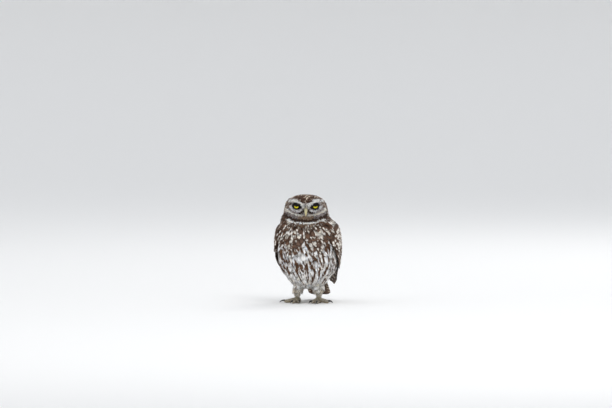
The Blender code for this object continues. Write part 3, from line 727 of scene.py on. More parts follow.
def makeWings(sheet):
    draw = np.random.default_rng(23)
    near = lambda value, spread: value + draw.uniform(-spread, spread)
    flight, greater, median, scapular = [], [], [], []
    for i in range(9):  # primaries, then secondaries nearer the back
        tip = 0.90 + 0.095 * math.sin(math.pi * (0.2 + 0.5 * (i / 8) ** 0.7)) - 0.012 * i
        flight.append(((0.26, 0.11 + 0.055 * i), (tip, 0.03 + 0.085 * i), 5.0, (1.5, 1.2), 0.55))
    for i in range(11):
        tip = 0.85 - 0.017 * i
        flight.append(((0.22 - 0.008 * i, 0.2 + 0.066 * i), (tip, 0.28 + 0.068 * i), 5.6, (2.6, 2.4), 0.6))
    for i in range(12):
        tip = (near(0.55 - 0.01 * i, 0.02), near(0.02 + 0.083 * i, 0.01))
        greater.append(((0.16, 0.03 + 0.078 * i), tip, 5.2, (3.2, 3.7), 0.6))
    for row, (root, tip, lift) in enumerate(((0.1, 0.42, 3.9), (0.02, 0.32, 4.5))):
        for i in range(11):
            end = (near(tip - 0.006 * i, 0.02), near(0.02 + 0.045 * row + 0.09 * i, 0.015))
            median.append(((root, 0.03 + 0.045 * row + 0.088 * i), end, 5.0, (lift - 2.4, lift + 0.1), 0.6))
    for i in range(10):
        tip = (near(0.27 + 0.05 * i, 0.015), near(0.86 + 0.045 * (i % 3), 0.015))
        scapular.append(((0.035 * i - 0.02, 0.84 + 0.03 * (i % 3)), tip, 6.0, (2.6, 4.6), 0.5))
    tiers = {
        "flight": dict(feathers=flight, ground=(84, 63, 50), mark=(206, 190, 168), spot=0, grid=(18, 7)),
        "greater": dict(feathers=greater, ground=(98, 75, 60), mark=(238, 230, 218), spot=0.6, grid=(12, 7)),
        "median": dict(feathers=median, ground=(102, 78, 63), mark=(242, 235, 226), spot=0.8, grid=(10, 5)),
        "scapular": dict(feathers=scapular, ground=(104, 80, 64), mark=(240, 233, 223), spot=0.3,
                         grid=(12, 7)),
    }
    barbs = {"count": 26, "from": 0.5, "length": 1.3 * mm, "width": 0.24 * mm, "lean": 42, "lift": 0.06}
    for side in ("left", "right"):
        for tier, facts in tiers.items():
            rows, columns = facts["grid"]
            outline = flightOutline(rows) if tier == "flight" else covertOutline(rows)
            grid, up, bakeAt = sheet.vanes(facts["feathers"], rows, columns, outline, 0.35)
            if side == "right":
                grid, up = mirrorGrid(grid, up)
            count = len(grid)
            ground = rgb(*facts["ground"])[None] * draw.normal(1, 0.07, (count, 1))
            mark = rgb(*facts["mark"])[None].repeat(count, 0)
            spot = facts["spot"] * draw.uniform(0.6, 1, count) * (draw.random(count) < 0.8)
            pattern = np.stack([spot, np.zeros(count), draw.random(count)], 1)
            piece = growPlumes(f"wing_{side}_{tier}", grid, up, 0.3 * mm, ground, mark, pattern, bakeAt,
                               draw, None if tier == "flight" else barbs)
            kind = flightMaterial if tier == "flight" else covertMaterial
            finishPiece(piece, kind, "flight_feathers", [f"wing_{side}"] if tier == "flight" else ())


def makeArms(sheet):  # the shoulder under the coverts, and its small feathers
    draw = np.random.default_rng(31)
    pillow = {"along": (0.21, 0.23), "across": (0.47, 0.52), "lift": (0.1, 4.0), "boxiness": 0.85}
    size = {"space": 2.7 * mm, "length": 10.5 * mm, "half": 3.1 * mm, "fromShoulder": 40 * mm,
            "shortest": 8.5 * mm, "straightness": 0.72}
    shape = bmesh.new()
    bmesh.ops.create_uvsphere(shape, u_segments=48, v_segments=28, radius=1)
    unitPoints = np.array([vert.co for vert in shape.verts])
    power = lambda v: np.sign(v) * np.abs(v) ** pillow["boxiness"]
    run = pillow["along"][0] + pillow["along"][1] * power(unitPoints[:, 0])
    across = pillow["across"][0] + pillow["across"][1] * power(unitPoints[:, 1])
    low, high = pillow["lift"]
    spots, _ = sheet.place(run, across, ((low + high) / 2 + (high - low) / 2 * unitPoints[:, 2]) * mm)
    for vert, spot in zip(shape.verts, spots):
        vert.co = spot
    shape.normal_update()
    bmesh.ops.recalc_face_normals(shape, faces=shape.faces)
    steady(shape)
    mesh = bpy.data.meshes.new("arm")
    shape.to_mesh(mesh)
    surface = Surface(mesh)
    sheetWay = unit(sheet.raw(np.full(1, 0.4), np.full(1, 0.5)) - sheet.raw(np.zeros(1), np.full(1, 0.5)))[0]

    armFlow = lambda points, normals: along(sheetWay + np.array([0, 0.05, -0.1]), normals)
    shoulder = fromBody(wingLines["middle"][0])
    within = lambda p: (p - shoulder) @ sheetWay < size["fromShoulder"]
    facing = lambda p, n: ((n[:, 0] > -0.4) | (n[:, 1] < -0.2)) & within(p)
    roots, normals = surface.scatter(12000, lambda p, n: np.full(len(p), size["space"]), draw, facing)
    seen = ~hiddenUnder(sheet.body, roots, normals, 1.5 * mm)
    roots, normals = roots[seen], normals[seen]
    headings = astray(armFlow(roots, normals), normals, 0.14, draw)
    lengths = size["length"] * draw.uniform(0.85, 1.15, len(roots))
    rows = len(plumeOutline)
    spine, ups = layOver(surface, roots, normals, headings, lengths, rows, armFlow)
    reached = np.linalg.norm(spine[:, -1] - roots, axis=1)
    straight = (dots(ups[:, 0], ups[:, -1])[:, 0] >= size["straightness"]) & (reached >= size["shortest"])
    spine, ups, roots = spine[straight], ups[straight], roots[straight]
    count = len(roots)
    spine = spine + ups * (-0.2 * mm + 1.9 * mm * np.linspace(0, 1, rows) ** 0.8)[:, None]
    grid, up = bodyGrid(spine, ups, size["half"] * draw.uniform(0.9, 1.1, count), plumeOutline, 5, 0.22)
    ground = rgb(100, 76, 61)[None] * draw.normal(1, 0.09, (count, 1))
    mark = rgb(242, 235, 226)[None].repeat(count, 0)
    body = inBody(roots)
    toFront = ramp(15, -20, body[:, 1]) * ramp(66, 88, body[:, 2])
    spot = (draw.uniform(0.15, 0.5, count) + 0.5 * toFront) * (draw.random(count) < 0.35 + 0.45 * toFront)
    pattern = np.stack([spot, np.zeros(count), draw.random(count)], 1)
    bakeAt = np.stack([0.05 + 0.9 * (body[:, 1] + 40) / 120, 0.05 + 0.9 * (body[:, 2] - 30) / 100], 1)
    barbs = {"count": 18, "from": 0.45, "length": 1.5 * mm, "width": 0.24 * mm, "lean": 45, "lift": 0.08}
    for side in ("left", "right"):
        sideGrid, sideUp = (grid, up) if side == "left" else mirrorGrid(grid, up)
        piece = growPlumes(f"wing_{side}_lesser", sideGrid, sideUp, 0.18 * mm, ground, mark, pattern,
                           bakeAt, draw, barbs)
        finishPiece(piece, plumeMaterial, "flight_feathers")
        armShape = shape.copy()
        bmesh.ops.scale(armShape, vec=(1 if side == "left" else -1, 1, 1), verts=armShape.verts)
        armShape.normal_update()
        bmesh.ops.recalc_face_normals(armShape, faces=armShape.faces)
        finishPiece(shapePiece(f"wing_{side}_arm", armShape), downMaterial, "flight_feathers")
    shape.free()
    print("arms", count, "small coverts a side")


# Tail: twelve feathers in pairs and their coverts
def makeTail():
    draw = np.random.default_rng(41)
    root, tip = np.array([0, 42, 56], float), np.array([0, 88, 8], float)
    heading = unit(tip - root)
    rise = np.array([0, -heading[2], heading[1]])
    tailFeathers(root, heading, rise, np.linalg.norm(tip - root), draw)
    tailCoverts(root, heading, rise, draw)


def tailFeathers(root, heading, rise, length, draw):
    size = {"pairs": 6, "rootHalf": 8, "tipHalf": 17, "half": 6.2, "step": 0.85, "start": 14}
    rows, columns = 18, 7
    outline = flightOutline(rows, 0.84)
    grids, bakes = [], []
    across = np.linspace(-1, 1, columns)[None, :]
    t = np.linspace(0, 1, rows)[:, None]
    for pair in range(size["pairs"]):
        for side in (-1, 1):
            level = size["step"] * (pair + (side > 0 or pair > 0))
            share = (pair + 0.5) / size["pairs"]
            atRoot = size["rootHalf"] * share
            middle = atRoot + ((size["tipHalf"] - size["half"]) * share + 1 - atRoot) * t
            inner = np.minimum(size["half"], middle - 0.25) if pair else size["half"]
            x = middle + across * np.where(across > 0, size["half"], inner) * outline[:, None]
            run = size["start"] + (length - 3.0 * share**2 - size["start"]) * t
            drop = -level * (1 - 0.45 * t) - 0.6 * share * np.abs(across) - 0.25 * across**2
            spot = root + x[..., None] * np.array([side, 0, 0])
            spot = spot + run[..., None] * heading + drop[..., None] * rise
            grids.append(spot if side > 0 else spot[:, ::-1])
            bakes.append((0.5 + side * 0.035 * (pair + 1), 0.3))
    grid = fromBody(np.stack(grids))
    up = np.broadcast_to(rise, grid.shape).copy()
    count = len(grid)
    ground = rgb(96, 75, 61)[None] * draw.normal(1, 0.05, (count, 1))
    mark = rgb(206, 190, 168)[None].repeat(count, 0)
    pattern = np.stack([np.zeros(count), np.zeros(count), draw.random(count)], 1)
    piece = growPlumes("tail_feathers", grid, up, 0.3 * mm, ground, mark, pattern, np.array(bakes), draw)
    finishPiece(piece, flightMaterial, "flight_feathers", ["tail"])


def tailCoverts(root, heading, rise, draw):  # on a soft base over the feathers' roots
    base = {"along": 17, "under": 2.6, "radii": (12.5 * mm, 19 * mm, 4.6 * mm)}
    size = {"space": 2.4 * mm, "length": 12 * mm, "half": 3.0 * mm, "reach": 31}
    shape = bmesh.new()
    bmesh.ops.create_uvsphere(shape, u_segments=40, v_segments=28, radius=1)
    tilt = Matrix.Rotation(math.atan2(heading[2], heading[1]), 4, "X")
    middle = Vector(fromBody(root + heading * base["along"] - rise * base["under"]))
    place = Matrix.Translation(middle) @ tilt @ Matrix.Diagonal((*base["radii"], 1))
    bmesh.ops.transform(shape, matrix=place, verts=shape.verts)
    steady(shape)
    surface = Surface(finishPiece(shapePiece("tail_base", shape), downMaterial, "flight_feathers").data)
    tailFlow = lambda points, normals: unit(heading - normals * dots(heading, normals) + 1e-6)
    roots, normals = surface.scatter(5000, lambda p, n: np.full(len(p), size["space"]), draw)
    run = (roots - fromBody(root)) @ heading / mm
    keep = run < size["reach"]
    roots, normals = roots[keep], normals[keep]
    count = len(roots)
    headings = astray(tailFlow(roots, normals), normals, 0.1, draw)
    lengths = size["length"] * draw.uniform(0.85, 1.15, count)
    outline = np.array([0.55, 0.85, 1, 0.97, 0.78, 0.3])
    rows = len(outline)
    spine, ups = layOver(surface, roots, normals, headings, lengths, rows, tailFlow)
    spine = spine + ups * (-0.2 * mm + 1.6 * mm * np.linspace(0, 1, rows) ** 0.8)[:, None]
    grid, up = bodyGrid(spine, ups, size["half"] * draw.uniform(0.9, 1.1, count), outline, 3, 0.22)
    under = (normals @ rise < 0.1)[:, None]
    ground = np.where(under, rgb(236, 231, 224), rgb(112, 90, 75)) * draw.normal(1, 0.07, (count, 1))
    mark = np.where(under, rgb(160, 138, 120), rgb(224, 214, 202))
    spot = np.where(under[:, 0], 0, draw.uniform(0.1, 0.45, count) * (draw.random(count) < 0.6))
    pattern = np.stack([spot, np.where(under[:, 0], 0.2, 0), draw.random(count)], 1)
    body = inBody(roots)
    bakeAt = np.stack([0.5 + body[:, 0] / 40, 0.1 + 0.8 * (body[:, 2] - 20) / 50], 1)
    barbs = {"count": 12, "from": 0.45, "length": 1.4 * mm, "width": 0.26 * mm, "lean": 45, "lift": 0.08}
    piece = growPlumes("tail_coverts", grid, up, 0.18 * mm, np.clip(ground, 0, 1), mark, pattern,
                       np.clip(bakeAt, 0.01, 0.99), draw, barbs)
    finishPiece(piece, plumeMaterial, "flight_feathers")


# Eyes, and dark lids that also carry the brow's painted shade
def eyeTurn(side):
    return Matrix.Rotation(headTurn + (1 if side == "left" else -1) * eyeOutward, 4, "Z")


def makeEye(side):
    size = {"around": 64, "rings": 48, "cornea": 0.5 * mm, "corneaEdge": math.radians(42)}
    shape = bmesh.new()
    uv = shape.loops.layers.uv.new("gaze")
    bmesh.ops.create_uvsphere(shape, u_segments=size["around"], v_segments=size["rings"], radius=eyeRadius)
    for face in shape.faces:
        angles = [math.atan2(loop.vert.co.y, loop.vert.co.x) / (2 * math.pi) + 0.5 for loop in face.loops]
        for loop, angle in zip(face.loops, angles):
            if max(angles) - angle > 0.5:
                angle += 1
            loop[uv].uv = (angle, math.acos(max(-1, min(1, loop.vert.co.z / eyeRadius))) / math.pi)
    for vert in shape.verts:
        polar = math.acos(max(-1, min(1, vert.co.z / eyeRadius)))
        share = max(0.0, 1 - (polar / size["corneaEdge"]) ** 2)
        vert.co += vert.co.normalized() * size["cornea"] * share**1.5
    toward = Matrix.Rotation(math.radians(82), 4, "X")  # the sphere's pole looks along -Y and a little up
    place = Matrix.Translation(eyeMiddles[side]) @ eyeTurn(side) @ toward
    bmesh.ops.transform(shape, matrix=place, verts=shape.verts)
    finishPiece(shapePiece(f"eye_{side}_ball", shape), eyeMaterial, "eye", [f"eye_{side}"])


def makeLids(side):
    # The near-black lids come down over the upper iris: the bird's own dark lids, together with painted
    # shade standing for the brow's shadow over the eye
    # half width, height above and below the middle of sight, and radius of each ring, in mm
    rings = ((3.15, 0.35, 3.2, 8.2), (3.4, 0.65, 3.4, 8.6), (4.2, 2.0, 3.8, 8.7), (5.1, 3.5, 4.2, 8.6),
             (5.8, 4.5, 4.7, 8.1))
    tilt = math.radians(8) * (1 if side == "left" else -1)
    shape = bmesh.new()
    made = bmesh.ops.create_circle(shape, segments=64, radius=1)
    angles = {vert: math.atan2(vert.co.y, vert.co.x) for vert in made["verts"]}

    def setRing(verts, ring):
        half, above, below, radius = ring
        for vert in verts:
            x = half * math.cos(angles[vert])
            z = (above if math.sin(angles[vert]) > 0 else below) * math.sin(angles[vert])
            x, z = x * math.cos(tilt) - z * math.sin(tilt), x * math.sin(tilt) + z * math.cos(tilt)
            depth = math.sqrt(max(radius**2 - x**2 - z**2, 0.1))
            vert.co = Vector((x, -depth, z)) * mm

    setRing(made["verts"], rings[0])
    edges = list(shape.edges)
    for ring in rings[1:]:
        known = dict(angles)
        out = bmesh.ops.extrude_edge_only(shape, edges=edges)["geom"]
        fresh = [item for item in out if isinstance(item, bmesh.types.BMVert)]
        for vert in fresh:
            angles[vert] = next(known[edge.other_vert(vert)] for edge in vert.link_edges
                                if edge.other_vert(vert) in known)
        setRing(fresh, ring)
        edges = [item for item in out if isinstance(item, bmesh.types.BMEdge)
                 and all(vert in fresh for vert in item.verts)]
    shape.normal_update()
    bmesh.ops.recalc_face_normals(shape, faces=shape.faces)
    bmesh.ops.solidify(shape, geom=shape.faces, thickness=0.3 * mm)
    shape.normal_update()
    bmesh.ops.recalc_face_normals(shape, faces=shape.faces)
    place = Matrix.Translation(eyeMiddles[side]) @ eyeTurn(side)
    bmesh.ops.transform(shape, matrix=place, verts=shape.verts)
    steady(shape)
    lids = finishPiece(shapePiece(f"lids_{side}", shape), lidShadeMaterial, "head_plumage")
    lidBristles(side, Surface(lids.data))


# Bill, feet and claws: the solids' own shapes, evened and softened
def makeHorn():
    for node, voxel, smoothing in (("bill_upper", 0.3, 6), ("bill_lower", 0.3, 5)):
        piece = remeshed(node + "_horn", joinedSolids([node]), voxel * mm, smoothing)
        finishPiece(piece, billMaterial, "bill_horn", [node])
        if node == "bill_upper":
            billBristles(Surface(piece.data))
    for side in ("left", "right"):
        foot = remeshed(f"foot_{side}_skin", joinedSolids([f"foot_{side}"]), 0.45 * mm, 3)
        for vert in foot.data.vertices:
            vert.co.z = max(vert.co.z, 0.02 * mm)
        finishPiece(foot, footMaterial, "leg_plumage", [f"foot_{side}"])
        toeBristles(side, Surface(foot.data))
        for toe in ("inner", "middle", "outer", "hind"):
            node = f"claw_{side}_{toe}"
            claw = remeshed(node + "_horn", joinedSolids([node]), 0.22 * mm, 2)
            finishPiece(claw, clawMaterial, "claw_horn", [node])


def growBristles(name, surface, allowed, wayAt, kit, slot):  # short stiff plumes on bill, lids and toes
    draw = np.random.default_rng(kit["seed"])
    flowAt = lambda points, normals: along(wayAt(points), normals)
    roots, normals = surface.scatter(30000, lambda p, n: np.full(len(p), kit["space"] * mm), draw, allowed)
    count = len(roots)
    headings = astray(flowAt(roots, normals), normals, 0.22, draw)
    lengths = kit["length"] * mm * draw.uniform(0.7, 1.2, count)
    outline = np.array([0.8, 1, 0.8, 0.25])
    rows = len(outline)
    spine, ups = layOver(surface, roots, normals, headings, lengths, rows, flowAt)
    spine = spine + ups * (kit["depth"] * mm * np.linspace(0, 1, rows) ** 0.9)[:, None]
    grid, up = bodyGrid(spine, ups, kit["width"] * mm * draw.uniform(0.8, 1.2, count), outline, 3, 0.2)
    dark = (draw.random(count) < kit["darkShare"])[:, None]
    ground = np.where(dark, rgb(*kit["dark"]), rgb(*kit["pale"])) * draw.normal(0.97, 0.05, (count, 1))
    pattern = np.stack([np.zeros(count), np.zeros(count), draw.random(count)], 1)
    place = (roots - roots.mean(axis=0)) / mm
    bakeAt = np.stack([0.5 + place[:, 0] / 60, 0.5 + (place[:, 1] + place[:, 2]) / 60], 1)
    piece = growPlumes(name, grid, up, 0.1 * mm, np.clip(ground, 0, 1), ground * 0.6, pattern, bakeAt, draw)
    finishPiece(piece, plumeMaterial, slot)


def billBristles(surface):
    kit = dict(seed=59, space=0.42, length=4.2, width=0.26, depth=0.8, darkShare=0.3, dark=(104, 86, 72),
               pale=(232, 226, 216))

    def wayAt(points):
        x = inFace(points)[:, 0]
        return turnedZ(np.stack([np.sign(x) * 0.3, -0.3 + 0 * x, -1 + 0 * x], 1), headTurn)

    def upper(points, normals):
        face = inFace(points)
        return (face[:, 2] > 0.2 - 0.8 * np.abs(face[:, 0])) & (face[:, 2] > -3.5) & (normals[:, 2] > -0.5)

    growBristles("bill_bristles", surface, upper, wayAt, kit, "head_plumage")


def lidBristles(side, surface):
    kit = dict(seed=61, space=0.34, length=1.3, width=0.15, depth=0.25, darkShare=0.75, dark=(16, 13, 12),
               pale=(44, 37, 33))
    eye = np.array(eyeMiddles[side])
    away = lambda p: offGaze(p - eye, side)
    outer = lambda p, n: (dots(n, p - eye)[:, 0] > 0) & (np.linalg.norm(away(p), axis=1) > 3.2 * mm)
    growBristles(f"lid_bristles_{side}", surface, outer, away, kit, "head_plumage")


def offGaze(vectors, side):  # the share of vectors square to the line of sight
    gaze = np.array(eyeTurn(side).to_3x3() @ Vector((0, -1, 0)))
    return vectors - dots(vectors, gaze) * gaze


def toeBristles(side, surface):
    kit = dict(seed=53, space=0.85, length=2.8, width=0.3, depth=0.75, darkShare=0.06, dark=(176, 158, 132),
               pale=(232, 224, 208))
    ankle = np.array(boxMiddle(f"leg_{side}"))
    upper = lambda p, n: (n[:, 2] > -0.1) & (p[:, 2] > 2 * mm)
    away = lambda p: (p - ankle) * np.array([1, 1, 0.1])
    growBristles(f"toe_bristles_{side}", surface, upper, away, kit, "leg_plumage")


# Node tools
def newMaterial(name, roughness, specular=0.5):
    material = bpy.data.materials.new(name)
    material.use_nodes = True
    shader = material.node_tree.nodes["Principled BSDF"]
    shader.inputs["Roughness"].default_value = roughness
    shader.inputs["Specular IOR Level"].default_value = specular
    return material, material.node_tree, shader


def calc(tree, operation, a, b=None, clamp=False):  # one Math node on sockets or numbers
    node = tree.nodes.new("ShaderNodeMath")
    node.operation = operation
    node.use_clamp = clamp
    for slot, value in zip(node.inputs, (a, b)):
        if value is None:
            continue
        if isinstance(value, (int, float)):
            slot.default_value = value
        else:
            tree.links.new(value, slot)
    return node.outputs[0]


def sums(tree):  # plus, minus, times and over
    kinds = ("ADD", "SUBTRACT", "MULTIPLY", "DIVIDE")
    return [lambda a, b, kind=kind: calc(tree, kind, a, b) for kind in kinds]


def smoothStep(tree, value, low, high):
    node = tree.nodes.new("ShaderNodeMapRange")
    node.interpolation_type = "SMOOTHSTEP"
    for key, number in (("From Min", low), ("From Max", high)):
        node.inputs[key].default_value = number
    tree.links.new(value, node.inputs["Value"])
    return node.outputs["Result"]


def mixColour(tree, share, a, b, blend="MIX"):
    node = tree.nodes.new("ShaderNodeMix")
    node.data_type = "RGBA"
    node.blend_type = blend
    for slot, value in ((node.inputs["Factor"], share), (node.inputs[6], a), (node.inputs[7], b)):
        if hasattr(value, "is_linked"):
            tree.links.new(value, slot)
        elif isinstance(value, (int, float)):
            slot.default_value = value
        else:
            slot.default_value = (*value, 1)
    return node.outputs[2]


def splitUp(tree, value):  # the three sockets of a vector
    node = tree.nodes.new("ShaderNodeSeparateXYZ")
    tree.links.new(value, node.inputs[0])
    return node.outputs


def uvAt(tree, name):
    node = tree.nodes.new("ShaderNodeUVMap")
    node.uv_map = name
    return node.outputs[0]


def colourAt(tree, name):
    node = tree.nodes.new("ShaderNodeAttribute")
    node.attribute_name = name
    return node.outputs["Color"]


def addRelief(tree, shader, height, distance, strength=1.0):  # a Bump node on the shader
    node = tree.nodes.new("ShaderNodeBump")
    node.inputs["Distance"].default_value = distance
    node.inputs["Strength"].default_value = strength
    tree.links.new(height, node.inputs["Height"])
    tree.links.new(node.outputs[0], shader.inputs["Normal"])


def featherGroup():
    # spot, streak and bars of one feather, from its own uv: across 0 to 1, and 0 at the root to 1 at the tip
    tree = bpy.data.node_groups.new("Feather marks", "ShaderNodeTree")
    for name, kind in (("UV", "Vector"), ("Pattern", "Color"), ("Ground", "Color"), ("Mark", "Color"),
                       ("Bars", "Float"), ("Barb Scale", "Float"), ("Spot Side", "Float"),
                       ("Spot Length", "Float"), ("Lay", "Vector"), ("Long Streaks", "Float"),
                       ("Streak Grain", "Vector")):
        tree.interface.new_socket(name, in_out="INPUT", socket_type="NodeSocket" + kind)
    for name, kind in (("Colour", "Color"), ("Height", "Float")):
        tree.interface.new_socket(name, in_out="OUTPUT", socket_type="NodeSocket" + kind)
    given, result = tree.nodes.new("NodeGroupInput").outputs, tree.nodes.new("NodeGroupOutput")
    plus, minus, times, over = sums(tree)
    step = lambda value, low, high: smoothStep(tree, value, low, high)
    across, run, _ = splitUp(tree, given["UV"])
    parts = tree.nodes.new("ShaderNodeSeparateColor")
    tree.links.new(given["Pattern"], parts.inputs[0])
    spotShare, streakShare, chance = parts.outputs
    offShaft = minus(times(across, 2), 1)
    edge = calc(tree, "ABSOLUTE", offShaft)
    # one ragged spot near the tip, a little different on each feather
    noise = tree.nodes.new("ShaderNodeTexNoise")
    noise.noise_dimensions = "4D"
    noise.inputs["Scale"].default_value = 3.2
    tree.links.new(given["UV"], noise.inputs["Vector"])
    tree.links.new(times(chance, 40), noise.inputs["W"])
    ragged = times(minus(noise.outputs["Fac"], 0.5), 1.6)
    spotAt = plus(0.82, times(chance, 0.06))
    up = over(minus(run, spotAt), times(plus(0.35, spotShare), given["Spot Length"]))
    aside = minus(offShaft, plus(given["Spot Side"], times(chance, 0.3)))
    wide = over(calc(tree, "ABSOLUTE", aside), plus(0.22, times(spotShare, 0.55)))
    reach = plus(calc(tree, "POWER", calc(tree, "ABSOLUTE", up), 2), calc(tree, "POWER", wide, 2))
    spot = step(plus(calc(tree, "SQRT", reach), ragged), 1.2, 0.85)
    spot = times(spot, step(spotShare, 0.02, 0.2))
    # a streak along the shaft that widens towards the tip
    half = times(step(run, 0.35, 0.85), plus(0.1, times(streakShare, 0.5)))
    streaked = step(streakShare, 0.02, 0.25)
    streak = times(times(step(minus(edge, half), 0.12, -0.06), step(run, 0.98, 0.9)), streaked)
    # long streaks that run on from feather to feather, shifted a little on each
    shift = tree.nodes.new("ShaderNodeCombineXYZ")
    for slot in shift.inputs[:2]:
        tree.links.new(times(chance, 0.45), slot)
    stretch = tree.nodes.new("ShaderNodeVectorMath")
    stretch.operation = "MULTIPLY_ADD"
    for value, slot in zip((given["Lay"], given["Streak Grain"], shift.outputs[0]), stretch.inputs):
        tree.links.new(value, slot)
    clumps = noiseAt(tree, 1.0, 2, stretch.outputs[0])
    limit = minus(0.638, times(streakShare, 0.16))
    long = times(step(minus(clumps, limit), -0.015, 0.025), streaked)
    streak = plus(times(streak, minus(1, given["Long Streaks"])), times(long, given["Long Streaks"]))
    # pale bars that stop short of the shaft
    phase = plus(plus(times(run, 8.5), times(edge, -0.25)), times(chance, 0.3))
    wave = calc(tree, "SINE", times(phase, 2 * math.pi))
    bars = times(step(wave, 0.45, 0.75), step(edge, 0.25, 0.55))
    bars = times(times(bars, step(run, 0.97, 0.9)), given["Bars"])
    share = calc(tree, "MAXIMUM", calc(tree, "MAXIMUM", spot, streak), bars, clamp=True)
    colour = mixColour(tree, share, given["Ground"], given["Mark"])
    # fine barbs that run out from the shaft, a darker shaft, and painted shade towards the root, where the
    # feathers above lie over it
    barb = calc(tree, "SINE", times(times(minus(run, times(edge, 0.22)), given["Barb Scale"]), 2 * math.pi))
    shaft = step(edge, 0.09, 0.03)
    shade = times(plus(0.97, times(barb, 0.07)), minus(1, times(shaft, 0.22)))
    # painted shade: each feather darkens to 60% at its root
    shade = times(shade, plus(0.6, times(step(run, 0.3, 0.85), 0.42)))
    grey = tree.nodes.new("ShaderNodeCombineColor")
    for slot in grey.inputs:
        tree.links.new(shade, slot)
    colour = mixColour(tree, 1.0, colour, grey.outputs[0], "MULTIPLY")
    tree.links.new(colour, result.inputs["Colour"])
    tree.links.new(plus(times(barb, 0.25), times(shaft, 1.0)), result.inputs["Height"])
    return tree


def featherMaterial(name, bars, barbScale, roughness, bumpHeight, spotSide=0.0, spotLength=0.18, grain=None):
    material, tree, shader = newMaterial(name, roughness, 0.25)
    marks = tree.nodes.new("ShaderNodeGroup")
    marks.node_tree = feathers
    given = {"Bars": bars, "Barb Scale": barbScale, "Spot Side": spotSide, "Spot Length": spotLength,
             "Long Streaks": 1.0 if grain else 0.0, "Streak Grain": grain or (1, 1, 0)}
    for slot, value in given.items():
        marks.inputs[slot].default_value = value
    for uvName, slot in (("featherUV", "UV"), ("layUV", "Lay")):
        tree.links.new(uvAt(tree, uvName), marks.inputs[slot])
    for slot in ("Ground", "Mark", "Pattern"):
        tree.links.new(colourAt(tree, slot.lower()), marks.inputs[slot])
    tree.links.new(marks.outputs["Colour"], shader.inputs["Base Color"])
    addRelief(tree, shader, marks.outputs["Height"], bumpHeight, 0.5)
    return material


def noiseAt(tree, scale, detail=4, vector=None):
    noise = tree.nodes.new("ShaderNodeTexNoise")
    noise.inputs["Scale"].default_value = scale
    noise.inputs["Detail"].default_value = detail
    if vector is None:
        vector = tree.nodes.new("ShaderNodeTexCoord").outputs["Object"]
    tree.links.new(vector, noise.inputs["Vector"])
    return noise.outputs["Fac"]


def rampColour(tree, value, stops):
    node = tree.nodes.new("ShaderNodeValToRGB")
    while len(node.color_ramp.elements) < len(stops):
        node.color_ramp.elements.new(0.5)
    for element, (place, colour) in zip(node.color_ramp.elements, stops):
        element.position = place
        element.color = (*rgb(*colour), 1)
    tree.links.new(value, node.inputs[0])
    return node.outputs[0]


def downyMaterial(name, colour=None):  # without a colour, the ground painted on the piece; on the skin that ground carries painted shade
    material, tree, shader = newMaterial(name, 0.9)
    noise = noiseAt(tree, 900)
    base = rgb(*colour) if colour else colourAt(tree, "ground")
    shade = rampColour(tree, noise, ((0.3, (170, 170, 170)), (0.7, (255, 255, 255))))
    tree.links.new(mixColour(tree, 1.0, base, shade, "MULTIPLY"), shader.inputs["Base Color"])
    addRelief(tree, shader, noise, 0.4 * mm)
    return material


def makeEyeMaterial():
    material, tree, shader = newMaterial("Eye", 0.25, 0.1)
    plus, minus, times, _ = sums(tree)
    gaze = uvAt(tree, "gaze")
    mapping = tree.nodes.new("ShaderNodeMapping")
    mapping.inputs["Scale"].default_value = (60, 6, 1)
    tree.links.new(gaze, mapping.inputs["Vector"])
    rays = noiseAt(tree, 1.0, 3, mapping.outputs[0])
    ragged = plus(splitUp(tree, gaze)[1], times(minus(rays, 0.5), 0.012))
    iris = rampColour(tree, ragged, ((0.0, (4, 4, 5)), (0.068, (5, 5, 6)), (0.076, (206, 184, 20)),
                                     (0.11, (246, 236, 44)), (0.15, (240, 226, 48)), (0.165, (150, 126, 24)),
                                     (0.175, (16, 13, 11)), (1.0, (10, 9, 9))))
    fibre = rampColour(tree, rays, ((0.3, (205, 205, 205)), (0.7, (255, 255, 255))))
    tree.links.new(mixColour(tree, 1.0, iris, fibre, "MULTIPLY"), shader.inputs["Base Color"])
    shader.inputs["Coat Weight"].default_value = 0.12
    shader.inputs["Coat Roughness"].default_value = 0.03
    return material


def makeLidShadeMaterial():
    material, tree, shader = newMaterial("Lid skin and painted brow shade", 0.75, 0.2)
    noise = noiseAt(tree, 1500)
    # near-black lid skin, which also stands for painted shade under the brow
    colour = rampColour(tree, noise, ((0.3, (8, 7, 7)), (0.7, (24, 20, 19))))
    tree.links.new(colour, shader.inputs["Base Color"])
    addRelief(tree, shader, noise, 0.15 * mm)
    return material


def makeHornMaterial(name, stops, scale, roughness, low, high):
    # colour runs from the high end down to the low one, with fine growth lines
    material, tree, shader = newMaterial(name, roughness)
    _, minus, times, _ = sums(tree)
    place = tree.nodes.new("ShaderNodeTexCoord").outputs["Object"]
    noise = noiseAt(tree, scale, 5, place)
    height = tree.nodes.new("ShaderNodeMapRange")
    height.inputs["From Min"].default_value = low
    height.inputs["From Max"].default_value = high
    tree.links.new(splitUp(tree, place)[2], height.inputs["Value"])
    wander = calc(tree, "ADD", height.outputs[0], times(minus(noise, 0.5), 0.25))
    tree.links.new(rampColour(tree, wander, stops), shader.inputs["Base Color"])
    addRelief(tree, shader, noise, 0.08 * mm)
    return material


